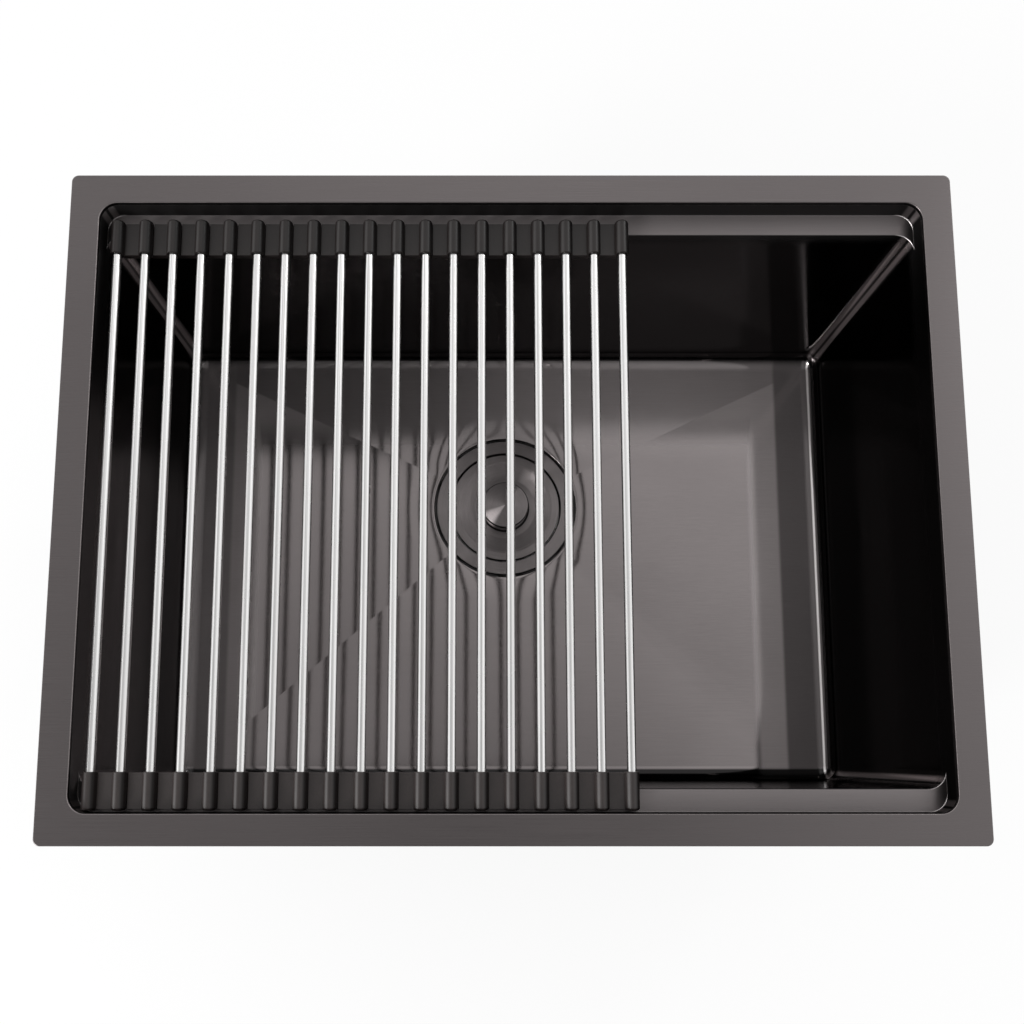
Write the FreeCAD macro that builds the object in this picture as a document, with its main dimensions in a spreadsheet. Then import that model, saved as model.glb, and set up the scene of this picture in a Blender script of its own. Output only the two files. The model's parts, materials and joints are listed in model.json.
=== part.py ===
import FreeCAD, Part
import Sketcher
import os

# Workstation kitchen sink, single bowl, with a roll-up drying rack and a basket waste.
# Millimetres. X runs along the sink, Y from front to back, Z up.
# The origin is the centre of the rim's top plane.

SIZES = {
    # rim flange
    "overall_length": 600.0,
    "overall_width": 450.0,
    "flange_width": 20.0,
    "flange_thickness": 3.0,
    "flange_corner": 4.5,
    "opening_corner": 12.0,
    # ledges and bowl
    "sheet": 1.2,
    "ledge_depth": 15.0,
    "ledge_width": 15.0,
    "bowl_corner": 13.0,
    "bend_radius": 12.5,
    "bowl_depth": 215.0,
    "floor_fall": 4.0,
    # waste opening in the floor
    "drain_offset": 52.0,
    "recess_gap": 2.3,
    "recess_land": 3.5,
    "drain_hole_gap": 0.7,
    # strainer body
    "strainer_flange_radius": 61.0,
    "strainer_sheet": 1.5,
    "strainer_lip_width": 11.4,
    "strainer_wall_depth": 40.0,
    "strainer_cone_fall": 6.0,
    "strainer_edge": 0.6,
    "outlet_radius": 23.9,
    "outlet_wall": 1.6,
    "outlet_length": 28.0,
    # seals and locknut
    "gasket_thickness": 1.5,
    "seal_inset": 1.0,
    "washer_thickness": 3.0,
    "fibre_thickness": 1.0,
    "nut_height": 12.0,
    "nut_wall": 7.0,
    "nut_base": 4.0,
    "lug_height": 4.0,
    "lug_width": 12.0,
    "lug_count": 8,
    # basket
    "basket_gap": 0.7,
    "basket_rim_width": 3.0,
    "basket_sheet": 1.0,
    "basket_depth": 36.0,
    "basket_floor_radius": 38.0,
    "basket_hole_radius": 2.0,
    "basket_hole_pitch": 9.0,
    "basket_hole_start": 12.0,
    "basket_slot_depth": 20.0,
    "basket_hole_count": 12,
    "post_radius": 4.0,
    "post_height": 18.0,
    "post_head_radius": 7.0,
    "post_head_height": 5.0,
    "stopper_radius": 27.0,
    "stopper_thickness": 3.6,
    "seat_gap": 0.3,
    # cover plate and knob
    "cover_gap": 1.0,
    "cover_sheet": 1.2,
    "cover_drop": 4.5,
    "cover_land_width": 7.8,
    "cover_dish_radius": 27.0,
    "cover_dish_depth": 3.6,
    "knob_radius": 20.6,
    "knob_rise": 9.0,
    "knob_edge": 0.7,
    "knob_rim_height": 3.5,
    "knob_neck_radius": 16.5,
    "knob_dimple": 0.35,
    "screw_radius": 2.5,
    "screw_head_radius": 4.5,
    "screw_head_height": 2.2,
    "screw_depth": 6.0,
    # roll-up rack
    "rod_radius": 3.0,
    "rod_pitch": 19.25,
    "rod_cover": 2.5,
    "bulge_radius": 4.75,
    "bulge_edge": 0.9,
    "bulge_end": 2.0,
    "strip_length": 24.5,
    "rack_width": 400.0,
    "rack_front_gap": 1.5,
    "rack_gap": 5.0,
    "rack_clearance": 0.6,
    "web_thickness": 4.0,
    "web_inset": 1.0,
    "web_reach": 3.5,
    "hinge_gap": 0.3,
    # sound deadening pads
    "pad_thickness": 2.5,
    "pad_margin": 45.0,
    "pad_drain_gap": 20.0,
    "pad_height": 120.0,
    "pad_top": 45.0,
    # room given to cutting shapes beyond the face that they pass
    "cut_margin": 5.0,
}
ROD_COUNT = 19
BASE_RODS = 3

DOC = FreeCAD.newDocument("workstation_sink")
SHEET = DOC.addObject("Spreadsheet::Sheet", "Sizes")
for row, (alias, number) in enumerate(SIZES.items(), start=1):
    SHEET.set("A%d" % row, alias)
    SHEET.set("B%d" % row, str(number))
    SHEET.setAlias("B%d" % row, alias)
DOC.recompute()


class Size:
    """A measure with its number and the formula that ties it to the sheet."""

    def __init__(self, number, text):
        self.number = float(number)
        self.text = text

    def __add__(self, other):
        other = measure(other)
        return Size(self.number + other.number, "(%s + %s)" % (self.text, other.text))

    def __sub__(self, other):
        other = measure(other)
        return Size(self.number - other.number, "(%s - %s)" % (self.text, other.text))

    def __mul__(self, factor):
        factor = measure(factor)
        return Size(self.number * factor.number, "%s * %s" % (self.text, factor.text))

    def __truediv__(self, divisor):
        return Size(self.number / divisor, "%s / %s" % (self.text, divisor))

    def __neg__(self):
        return Size(-self.number, "(0 - %s)" % self.text)


def measure(thing):
    return thing if isinstance(thing, Size) else Size(thing, repr(float(thing)))


def size(alias):
    return Size(SIZES[alias], "Sizes." + alias)


ZERO = measure(0)

# Sizes that follow from the driving ones.
HALF_LENGTH = size("overall_length") / 2
HALF_WIDTH = size("overall_width") / 2
OPEN_X = HALF_LENGTH - size("flange_width")
OPEN_Y = HALF_WIDTH - size("flange_width")
BOWL_Y = OPEN_Y - size("ledge_width")
SHEET_T = size("sheet")
LEDGE_Z = -size("ledge_depth")
FLOOR_Z = -size("bowl_depth")
DRAIN_Z = FLOOR_Z - size("floor_fall")
RECESS_DEPTH = size("strainer_sheet") + size("gasket_thickness")
FLANGE_R = size("strainer_flange_radius")
RECESS_R = FLANGE_R + size("recess_gap")
BORE_R = FLANGE_R - size("strainer_lip_width")
CUP_R = BORE_R + size("strainer_sheet")
HOLE_R = CUP_R + size("drain_hole_gap")
ROD_Z = LEDGE_Z + size("bulge_radius") + size("rack_clearance")
FIRST_ROD_X = size("rack_gap") + size("bulge_radius") - OPEN_X
STRIP_END_Y = size("rack_width") / 2
RACK_Y = size("rack_front_gap") + STRIP_END_Y - OPEN_Y

NODES = []


def node(label, thing):
    """Names a finished sub-part, which becomes a file of its own."""
    thing.Label = label
    NODES.append(thing)
    return thing


def place(thing, x=ZERO, y=ZERO, z=ZERO):
    for axis, value in zip("xyz", (x, y, z)):
        if value is not ZERO:
            thing.setExpression("Placement.Base." + axis, value.text)
    return thing


def origin_part(body, role):
    return [part for part in body.Origin.OriginFeatures if part.Role == role][0]


def new_sketch(body, name, role, height=None):
    sketch = body.newObject("Sketcher::SketchObject", name)
    sketch.AttachmentSupport = [(origin_part(body, role), "")]
    sketch.MapMode = "FlatFace"
    if height is not None:
        sketch.setExpression("AttachmentOffset.Base.z", height.text)
    return sketch


def pin_down(sketch, line, point, across, up):
    """Holds one sketch point at its two measures from the origin."""
    for kind, axis, value in (("DistanceX", -2, across), ("DistanceY", -1, up)):
        if value.text in (ZERO.text, "0.0"):
            sketch.addConstraint(Sketcher.Constraint("PointOnObject", line, point, axis))
            continue
        index = sketch.addConstraint(Sketcher.Constraint(kind, -1, 1, line, point, value.number))
        sketch.setExpression("Constraints[%d]" % index, value.text)


def polygon(body, name, role, corners, height=None):
    """A closed outline of straight lines, each corner held by its own two sizes."""
    sketch = new_sketch(body, name, role, height)
    corners = [(measure(a), measure(b)) for a, b in corners]
    spots = [FreeCAD.Vector(a.number, b.number, 0) for a, b in corners]
    count = len(spots)
    for i in range(count):
        sketch.addGeometry(Part.LineSegment(spots[i], spots[(i + 1) % count]), False)
    for i in range(count):
        sketch.addConstraint(Sketcher.Constraint("Coincident", i, 2, (i + 1) % count, 1))
    for i, (across, up) in enumerate(corners):
        pin_down(sketch, i, 1, across, up)
    return sketch


def circles(body, name, role, centres, radius, height=None):
    sketch = new_sketch(body, name, role, height)
    for i, (across, up) in enumerate(centres):
        across, up = measure(across), measure(up)
        centre = FreeCAD.Vector(across.number, up.number, 0)
        sketch.addGeometry(Part.Circle(centre, FreeCAD.Vector(0, 0, 1), radius.number), False)
        pin_down(sketch, i, 3, across, up)
        index = sketch.addConstraint(Sketcher.Constraint("Radius", i, radius.number))
        sketch.setExpression("Constraints[%d]" % index, radius.text)
    return sketch


def rectangle(x_low, x_high, y_low, y_high):
    return [(x_low, y_low), (x_high, y_low), (x_high, y_high), (x_low, y_high)]


def pad(body, sketch, length):
    feature = body.newObject("PartDesign::Pad", sketch.Name + "_pad")
    feature.Profile = sketch
    feature.setExpression("Length", length.text)
    sketch.Visibility = False
    return feature


def revolved(name, corners, role="XZ_Plane"):
    """A turned piece: an outline of radius and height, spun once round its axis."""
    body = DOC.addObject("PartDesign::Body", name)
    sketch = polygon(body, name + "_outline", role, corners)
    feature = body.newObject("PartDesign::Revolution", name + "_turned")
    feature.Profile = sketch
    feature.ReferenceAxis = (sketch, ["V_Axis"])
    feature.Angle = 360
    return body


def round_edges(body, name, radius, wanted):
    """Rounds the edges of the body's last feature that the test picks out."""
    DOC.recompute()
    last = body.Tip
    names = ["Edge%d" % i for i, edge in enumerate(last.Shape.Edges, start=1) if wanted(edge)]
    feature = body.newObject("PartDesign::Fillet", name)
    feature.Base = (last, names)
    feature.setExpression("Radius", radius.text)
    return feature


def upright(edge):
    ends = edge.Vertexes
    return len(ends) == 2 and abs(ends[0].Z - ends[1].Z) > 1 and abs(ends[0].X - ends[1].X) < 0.001


def block(name, half_x, half_y, low, high, corner, bend=None):
    """An upright block with rounded corners and, if asked, rounded bottom edges."""
    body = DOC.addObject("PartDesign::Body", name)
    outline = rectangle(-half_x, half_x, -half_y, half_y)
    sketch = polygon(body, name + "_plan", "XY_Plane", outline, low)
    pad(body, sketch, high - low)
    round_edges(body, name + "_corners", corner, upright)
    if bend is not None:
        bottom = low.number
        round_edges(body, name + "_bends", bend,
                    lambda edge: all(abs(v.Z - bottom) < 0.001 for v in edge.Vertexes))
    return body


def box(name, x_low, x_high, y_low, y_high, z_low, z_high):
    """A plain block between six faces."""
    shape = DOC.addObject("Part::Box", name)
    shape.setExpression("Length", (x_high - x_low).text)
    shape.setExpression("Width", (y_high - y_low).text)
    shape.setExpression("Height", (z_high - z_low).text)
    return place(shape, x_low, y_low, z_low)


def cylinder(name, radius, low, high, x=ZERO, y=ZERO):
    shape = DOC.addObject("Part::Cylinder", name)
    shape.setExpression("Radius", radius.text)
    shape.setExpression("Height", (high - low).text)
    return place(shape, x, y, low)


def along_y(name, radius, half_length, x=ZERO, z=ZERO, y=ZERO):
    """A round bar lying along Y, with its middle at the given place."""
    shape = DOC.addObject("Part::Cylinder", name)
    shape.Placement = FreeCAD.Placement(
        FreeCAD.Vector(0, 0, 0), FreeCAD.Rotation(FreeCAD.Vector(1, 0, 0), -90))
    shape.setExpression("Radius", radius.text)
    shape.setExpression("Height", (half_length * 2).text)
    return place(shape, x, y - half_length, z)


def joined(name, parts):
    shape = DOC.addObject("Part::MultiFuse", name)
    shape.Shapes = parts
    return shape


def cut(name, base, tool):
    shape = DOC.addObject("Part::Cut", name)
    shape.Base = base
    shape.Tool = tool
    return shape


def shared(name, base, tool):
    shape = DOC.addObject("Part::Common", name)
    shape.Base = base
    shape.Tool = tool
    return shape


# ---------------------------------------------------------------- sink shell

def floor_pyramid(name, top):
    """The floor's four falls, creased from the bowl's corners to the waste."""
    body = DOC.addObject("PartDesign::Body", name)
    edge_x = OPEN_X - size("bend_radius")
    edge_y = BOWL_Y - size("bend_radius")
    flat = RECESS_R + size("recess_land")
    upper = polygon(body, name + "_edge", "XY_Plane",
                    rectangle(-edge_x, edge_x, -edge_y, edge_y), top)
    lower = polygon(body, name + "_flat", "XY_Plane",
                    rectangle(-flat, flat, size("drain_offset") - flat, size("drain_offset") + flat),
                    top - size("floor_fall"))
    loft = body.newObject("PartDesign::AdditiveLoft", name + "_falls")
    loft.Profile = upper
    loft.Sections = [lower]
    loft.Ruled = True
    return body


DRAIN_Y = size("drain_offset")
UPPER_CORNER = size("opening_corner")
LOWER_CORNER = size("bowl_corner")
BEND = size("bend_radius")

inner_upper = block("opening_space", OPEN_X, OPEN_Y, LEDGE_Z, size("cut_margin"), UPPER_CORNER)
inner_lower = block("bowl_space", OPEN_X, BOWL_Y, FLOOR_Z, ZERO - size("flange_thickness") / 2,
                    LOWER_CORNER, BEND)
outer_upper = block("opening_skin", OPEN_X + SHEET_T, OPEN_Y + SHEET_T, LEDGE_Z - SHEET_T,
                    -size("flange_thickness"), UPPER_CORNER + SHEET_T)
outer_lower = block("bowl_skin", OPEN_X + SHEET_T, BOWL_Y + SHEET_T, FLOOR_Z - SHEET_T,
                    -size("flange_thickness"), LOWER_CORNER + SHEET_T, BEND + SHEET_T)
inner_floor = floor_pyramid("floor_space", FLOOR_Z)
outer_floor = floor_pyramid("floor_skin", FLOOR_Z - SHEET_T)
inner_recess = cylinder("recess_space", RECESS_R, DRAIN_Z - RECESS_DEPTH,
                        DRAIN_Z + size("floor_fall") / 2, ZERO, DRAIN_Y)
outer_recess = cylinder("recess_skin", RECESS_R + SHEET_T, DRAIN_Z - RECESS_DEPTH - SHEET_T,
                        DRAIN_Z - SHEET_T / 2, ZERO, DRAIN_Y)
drain_hole = cylinder("drain_hole", HOLE_R, DRAIN_Z - RECESS_DEPTH - size("cut_margin"),
                      DRAIN_Z, ZERO, DRAIN_Y)

outside = joined("shell_outside", [outer_upper, outer_lower, outer_floor, outer_recess])
inside = joined("shell_inside",
                [inner_upper, inner_lower, inner_floor, inner_recess, drain_hole])
shell = cut("shell", outside, inside)

# The shell is made of sheets that meet where the bends and the corners begin.
SEAM_Z = FLOOR_Z + BEND + size("cut_margin") / 5
SEAM_Y = BOWL_Y - LOWER_CORNER
REACH_X = HALF_LENGTH
REACH_Y = HALF_WIDTH
WALL_TOP = -size("flange_thickness")
BELOW = DRAIN_Z - RECESS_DEPTH - size("cut_margin")

node("bottom_pan", shared("bottom_sheet", shell,
     box("bottom_zone", -REACH_X, REACH_X, -REACH_Y, REACH_Y, BELOW, SEAM_Z)))
node("wall_front", shared("front_sheet", shell,
     box("front_zone", -REACH_X, REACH_X, -REACH_Y, -SEAM_Y, SEAM_Z, WALL_TOP)))
node("wall_back", shared("back_sheet", shell,
     box("back_zone", -REACH_X, REACH_X, SEAM_Y, REACH_Y, SEAM_Z, WALL_TOP)))
node("wall_left", shared("left_sheet", shell,
     box("left_zone", -REACH_X, ZERO, -SEAM_Y, SEAM_Y, SEAM_Z, WALL_TOP)))
node("wall_right", shared("right_sheet", shell,
     box("right_zone", ZERO, REACH_X, -SEAM_Y, SEAM_Y, SEAM_Z, WALL_TOP)))
node("rim_flange", cut("rim_plate",
     block("rim_blank", HALF_LENGTH, HALF_WIDTH, WALL_TOP, ZERO, size("flange_corner")),
     inner_upper))

# ------------------------------------------------------ sound deadening pads

PAD_T = size("pad_thickness")
pad_floor = floor_pyramid("pad_slope", FLOOR_Z - SHEET_T - PAD_T)
pad_layer = cut("pad_layer", joined("pad_blank", [pad_floor, box(
    "pad_body", -OPEN_X, OPEN_X, -BOWL_Y, BOWL_Y, FLOOR_Z - SHEET_T - PAD_T, FLOOR_Z - SHEET_T)]),
    outside)
PAD_IN = RECESS_R + size("pad_drain_gap")
PAD_OUT = OPEN_X - size("pad_margin")
PAD_Y = BOWL_Y - size("pad_margin")
pad_zones = joined("pad_zones", [
    box("pad_zone_left", -PAD_OUT, -PAD_IN, -PAD_Y, PAD_Y, BELOW, FLOOR_Z),
    box("pad_zone_right", PAD_IN, PAD_OUT, -PAD_Y, PAD_Y, BELOW, FLOOR_Z)])
node("sound_pads_floor", shared("floor_pads", pad_layer, pad_zones))

PAD_HIGH = -size("pad_top")
PAD_LOW = PAD_HIGH - size("pad_height")
SKIN_X = OPEN_X + SHEET_T
SKIN_Y = BOWL_Y + SHEET_T


def pad_pair(name, first, second):
    pair = DOC.addObject("Part::Compound", name)
    pair.Links = [first, second]
    return pair


node("sound_pads_ends", pad_pair("end_pads",
     box("end_pad_left", -SKIN_X - PAD_T, -SKIN_X, -PAD_Y, PAD_Y, PAD_LOW, PAD_HIGH),
     box("end_pad_right", SKIN_X, SKIN_X + PAD_T, -PAD_Y, PAD_Y, PAD_LOW, PAD_HIGH)))
node("sound_pads_sides", pad_pair("side_pads",
     box("side_pad_front", -PAD_OUT, PAD_OUT, -SKIN_Y - PAD_T, -SKIN_Y, PAD_LOW, PAD_HIGH),
     box("side_pad_back", -PAD_OUT, PAD_OUT, SKIN_Y, SKIN_Y + PAD_T, PAD_LOW, PAD_HIGH)))

# ------------------------------------------------------------- basket waste
# Heights here are measured from the top of the strainer's flange.

STRAINER_T = size("strainer_sheet")
EDGE = size("strainer_edge")
WALL_Z = -size("strainer_wall_depth")
CONE_Z = WALL_Z - size("strainer_cone_fall")
OUTLET_R = size("outlet_radius")
OUTLET_BORE = OUTLET_R - size("outlet_wall")
OUTLET_Z = CONE_Z - size("outlet_length")
RECESS_UNDER = -RECESS_DEPTH - SHEET_T
SEAL_R = FLANGE_R - size("seal_inset")
FIBRE_TOP = RECESS_UNDER - size("washer_thickness")
NUT_TOP = FIBRE_TOP - size("fibre_thickness")
NUT_R = CUP_R + size("nut_wall")


def at_drain(body):
    return place(body, ZERO, DRAIN_Y, DRAIN_Z)


node("strainer_body", at_drain(revolved("strainer", [
    (BORE_R, ZERO), (FLANGE_R - EDGE, ZERO), (FLANGE_R, -EDGE), (FLANGE_R, -STRAINER_T),
    (CUP_R, -STRAINER_T), (CUP_R, WALL_Z - STRAINER_T), (OUTLET_R, CONE_Z - STRAINER_T),
    (OUTLET_R, OUTLET_Z), (OUTLET_BORE, OUTLET_Z), (OUTLET_BORE, CONE_Z), (BORE_R, WALL_Z)])))


def ring(name, bore, rim, low, high):
    return at_drain(revolved(name, [(bore, low), (rim, low), (rim, high), (bore, high)]))


node("flange_gasket", ring("gasket", HOLE_R, SEAL_R, -RECESS_DEPTH, -STRAINER_T))
node("sealing_washer", ring("washer", HOLE_R, SEAL_R, FIBRE_TOP, RECESS_UNDER))
node("slip_ring", ring("fibre", HOLE_R, SEAL_R, NUT_TOP, FIBRE_TOP))

nut = at_drain(revolved("locknut_ring", [
    (CUP_R, NUT_TOP), (SEAL_R, NUT_TOP), (SEAL_R, NUT_TOP - size("nut_base")),
    (NUT_R, NUT_TOP - size("nut_base")), (NUT_R, NUT_TOP - size("nut_height")),
    (CUP_R, NUT_TOP - size("nut_height"))]))
HALF_LUG = size("lug_width") / 2
lug_plan = polygon(nut, "lug_plan", "XY_Plane",
                   rectangle(NUT_R - size("nut_wall") / 2, NUT_R + size("lug_height"),
                             -HALF_LUG, HALF_LUG),
                   NUT_TOP - size("nut_height"))
lug = pad(nut, lug_plan, size("nut_height") - size("nut_base") / 2)
DOC.recompute()
lugs = nut.newObject("PartDesign::PolarPattern", "lugs")
lugs.Originals = [lug]
lugs.Axis = (lug_plan, ["N_Axis"])
lugs.Angle = 360
lugs.setExpression("Occurrences", size("lug_count").text)
nut.Tip = lugs
lug_plan.setExpression("AttachmentOffset.Base.x", ZERO.text)
node("locknut", nut)

# The basket stands on its stopper in the mouth of the outlet.
RIM_R = BORE_R - size("basket_gap")
BASKET_T = size("basket_sheet")
RIM_Z = -size("cover_drop")
BASKET_R = RIM_R - size("basket_rim_width")
FLOOR_R = size("basket_floor_radius")
BASKET_Z = -size("basket_depth")
POST_R = size("post_radius")
basket = at_drain(revolved("basket", [
    (POST_R, BASKET_Z), (FLOOR_R, BASKET_Z), (BASKET_R, RIM_Z - BASKET_T), (RIM_R, RIM_Z - BASKET_T),
    (RIM_R, RIM_Z), (BASKET_R - BASKET_T, RIM_Z), (FLOOR_R - BASKET_T, BASKET_Z + BASKET_T),
    (POST_R, BASKET_Z + BASKET_T)]))


def pattern_cut(body, name, sketch, count, through):
    """Cuts one group of holes and repeats it round the body's axis."""
    DOC.recompute()
    feature = body.newObject("PartDesign::Pocket", name)
    feature.Profile = sketch
    feature.Type = "Length"
    feature.setExpression("Length", through.text)
    DOC.recompute()
    rings = body.newObject("PartDesign::PolarPattern", name + "_round")
    rings.Originals = [feature]
    rings.Axis = (origin_part(body, "Z_Axis"), [""])
    rings.Angle = 360
    rings.setExpression("Occurrences", count.text)
    body.Tip = rings
    DOC.recompute()
    return rings


HOLE = size("basket_hole_radius")
STEP = size("basket_hole_pitch")
START = size("basket_hole_start")
floor_holes = circles(basket, "floor_holes", "XY_Plane",
                      [(START + STEP * i, ZERO) for i in range(3)], HOLE, ZERO)
pattern_cut(basket, "floor_perforation", floor_holes, size("basket_hole_count"),
            size("basket_depth") + size("cut_margin"))
wall_holes = circles(basket, "wall_holes", "XZ_Plane",
                     [(ZERO, -size("basket_slot_depth")), (ZERO, STEP - size("basket_slot_depth"))],
                     HOLE)
pattern_cut(basket, "wall_perforation", wall_holes, size("basket_hole_count"), BORE_R)
node("basket_cup", basket)

STOPPER_R = size("stopper_radius")
SLOPE = size("strainer_cone_fall").number / (BORE_R - OUTLET_BORE).number
STOPPER_Z = CONE_Z + size("seat_gap") + (STOPPER_R - OUTLET_BORE) * size("strainer_cone_fall") * (
    1.0 / (BORE_R - OUTLET_BORE).number)
STOPPER_TOP = STOPPER_Z + size("stopper_thickness")
POST_TOP = BASKET_Z + size("post_height")
node("basket_post", at_drain(revolved("post", [
    (ZERO, STOPPER_Z), (POST_R, STOPPER_Z), (POST_R, POST_TOP - size("post_head_height")),
    (size("post_head_radius"), POST_TOP - size("post_head_height")),
    (size("post_head_radius"), POST_TOP), (ZERO, POST_TOP)])))
node("stopper_seal", ring("stopper", POST_R, STOPPER_R, STOPPER_Z, STOPPER_TOP))
node("stopper_spacer", ring("spacer", POST_R, size("post_head_radius"), STOPPER_TOP, BASKET_Z))

# The cover plate stands on the basket's rim and carries the knob.
COVER_R = BORE_R - size("cover_gap")
COVER_T = size("cover_sheet")
LAND_R = COVER_R - size("cover_land_width")
DISH_R = size("cover_dish_radius")
DISH_Z = -size("cover_dish_depth")
SKIRT_Z = RIM_Z + size("seat_gap")
SCREW_R = size("screw_radius")
KNOB_R = size("knob_radius")
KNOB_Z = size("knob_rise")
NECK_R = size("knob_neck_radius")
node("cover_plate", at_drain(revolved("cover", [
    (SCREW_R, DISH_Z), (DISH_R, DISH_Z), (LAND_R, -EDGE), (COVER_R - EDGE, ZERO),
    (COVER_R, -EDGE), (COVER_R, SKIRT_Z), (COVER_R - COVER_T, SKIRT_Z),
    (COVER_R - COVER_T, -EDGE - COVER_T), (LAND_R, -EDGE - COVER_T),
    (DISH_R, DISH_Z - COVER_T), (SCREW_R, DISH_Z - COVER_T)])))
node("cover_knob", at_drain(revolved("knob", [
    (ZERO, KNOB_Z - size("knob_dimple")), (KNOB_R - size("knob_edge"), KNOB_Z),
    (KNOB_R, KNOB_Z - size("knob_edge")), (KNOB_R, KNOB_Z - size("knob_rim_height")),
    (NECK_R, KNOB_Z - size("knob_rim_height") - size("knob_edge") * 2), (NECK_R, DISH_Z),
    (SCREW_R, DISH_Z), (SCREW_R, DISH_Z + size("screw_depth")),
    (ZERO, DISH_Z + size("screw_depth"))])))
HEAD_Z = DISH_Z - COVER_T
node("cover_screw", at_drain(revolved("knob_screw", [
    (ZERO, HEAD_Z - size("screw_head_height")),
    (size("screw_head_radius"), HEAD_Z - size("screw_head_height")),
    (size("screw_head_radius"), HEAD_Z), (SCREW_R, HEAD_Z),
    (SCREW_R, DISH_Z + size("screw_depth")), (ZERO, DISH_Z + size("screw_depth"))])))

# ------------------------------------------------------------- roll-up rack

PITCH = size("rod_pitch")
BULGE_R = size("bulge_radius")
ROD_R = size("rod_radius")
ROD_HALF = STRIP_END_Y - size("rod_cover")


def strip_pair(name, bulges, open_end):
    """One length of the front strip and of the back strip, with their sockets for the rods.
    It runs to the left from its first rod, and an open end leaves room for the next link's bulge."""
    body = DOC.addObject("PartDesign::Body", name)
    outer = -STRIP_END_Y
    inner = outer + size("strip_length")
    soft = size("bulge_edge")
    end = size("bulge_end")
    outline = [(ZERO, outer), (BULGE_R - end, outer), (BULGE_R, outer + end),
               (BULGE_R, inner - soft), (BULGE_R - soft, inner), (ROD_R, inner),
               (ROD_R, -ROD_HALF), (ZERO, -ROD_HALF)]
    sketch = polygon(body, name + "_bulge", "XY_Plane", outline)
    bulge = body.newObject("PartDesign::Revolution", name + "_bulge_turned")
    bulge.Profile = sketch
    bulge.ReferenceAxis = (sketch, ["V_Axis"])
    bulge.Angle = 360
    webs = bulges if open_end else bulges - 1
    web_plan = polygon(body, name + "_web", "XY_Plane",
                       rectangle(size("web_reach") - PITCH, -size("web_reach"),
                                 outer + size("web_inset"), inner - size("web_inset") / 2),
                       -BULGE_R)
    DOC.recompute()
    if bulges > 1:
        row = body.newObject("PartDesign::LinearPattern", name + "_bulges")
        row.Originals = [bulge]
        row.Direction = (origin_part(body, "X_Axis"), [""])
        row.Reversed = True
        row.setExpression("Length", (PITCH * (bulges - 1)).text)
        row.Occurrences = bulges
        body.Tip = row
        DOC.recompute()
    web = pad(body, web_plan, size("web_thickness"))
    DOC.recompute()
    if webs > 1:
        row = body.newObject("PartDesign::LinearPattern", name + "_webs")
        row.Originals = [web]
        row.Direction = (origin_part(body, "X_Axis"), [""])
        row.Reversed = True
        row.setExpression("Length", (PITCH * (webs - 1)).text)
        row.Occurrences = webs
        body.Tip = row
        DOC.recompute()
    front = body
    if open_end:
        socket = along_y(name + "_hinge_room", BULGE_R + size("hinge_gap"), OPEN_Y, -PITCH * bulges)
        front = cut(name + "_front", body, socket)
    back = DOC.addObject("Part::Mirroring", name + "_back")
    back.Source = front
    back.Normal = FreeCAD.Vector(0, 1, 0)
    return pad_pair(name + "_pair", front, back)


def rod_x(index):
    return FIRST_ROD_X + PITCH * index


def laid(label, pair, index):
    """A copy of a strip pair with its first bulge on the given rod."""
    link = DOC.addObject("App::Link", label)
    link.LinkedObject = pair
    return node(label, place(link, rod_x(index), RACK_Y, ROD_Z))


base_pair = strip_pair("strip_base", BASE_RODS, True)
link_pair = strip_pair("strip_link", 1, True)
last_pair = strip_pair("strip_last", 2, False)

# The rack rolls up from its left end, and its three rods on the right stay flat.
laid("rack_strips_base", base_pair, ROD_COUNT - 1)
for index in range(2, ROD_COUNT - BASE_RODS):
    laid("rack_strips_%02d" % (index + 1), link_pair, index)
laid("rack_strips_end", last_pair, 1)
for index in range(ROD_COUNT):
    node("rack_rod_%02d" % (index + 1),
         along_y("rod_bar_%02d" % (index + 1), ROD_R, ROD_HALF, rod_x(index), ROD_Z, RACK_Y))

# ------------------------------------------------------------------- export

DOC.recompute()
for thing in DOC.Objects:
    for trouble in ("Invalid", "Error"):
        if trouble in thing.State:
            raise RuntimeError("%s is %s" % (thing.Label, trouble))

os.makedirs("parts", exist_ok=True)
for thing in NODES:
    shape = Part.getShape(thing)
    if shape.isNull() or not shape.isValid() or not shape.Solids:
        raise RuntimeError("%s has no sound solid" % thing.Label)
    shape.exportStep("parts/%s.step" % thing.Label)
    low, high = shape.BoundBox, shape.BoundBox
    print("%-18s %d solid(s) %10.1f mm3  x %.1f..%.1f  y %.1f..%.1f  z %.1f..%.1f" % (
        thing.Label, len(shape.Solids), shape.Volume, low.XMin, high.XMax,
        low.YMin, high.YMax, low.ZMin, high.ZMax))
print("%d nodes" % len(NODES))
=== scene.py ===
import json
import math

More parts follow.
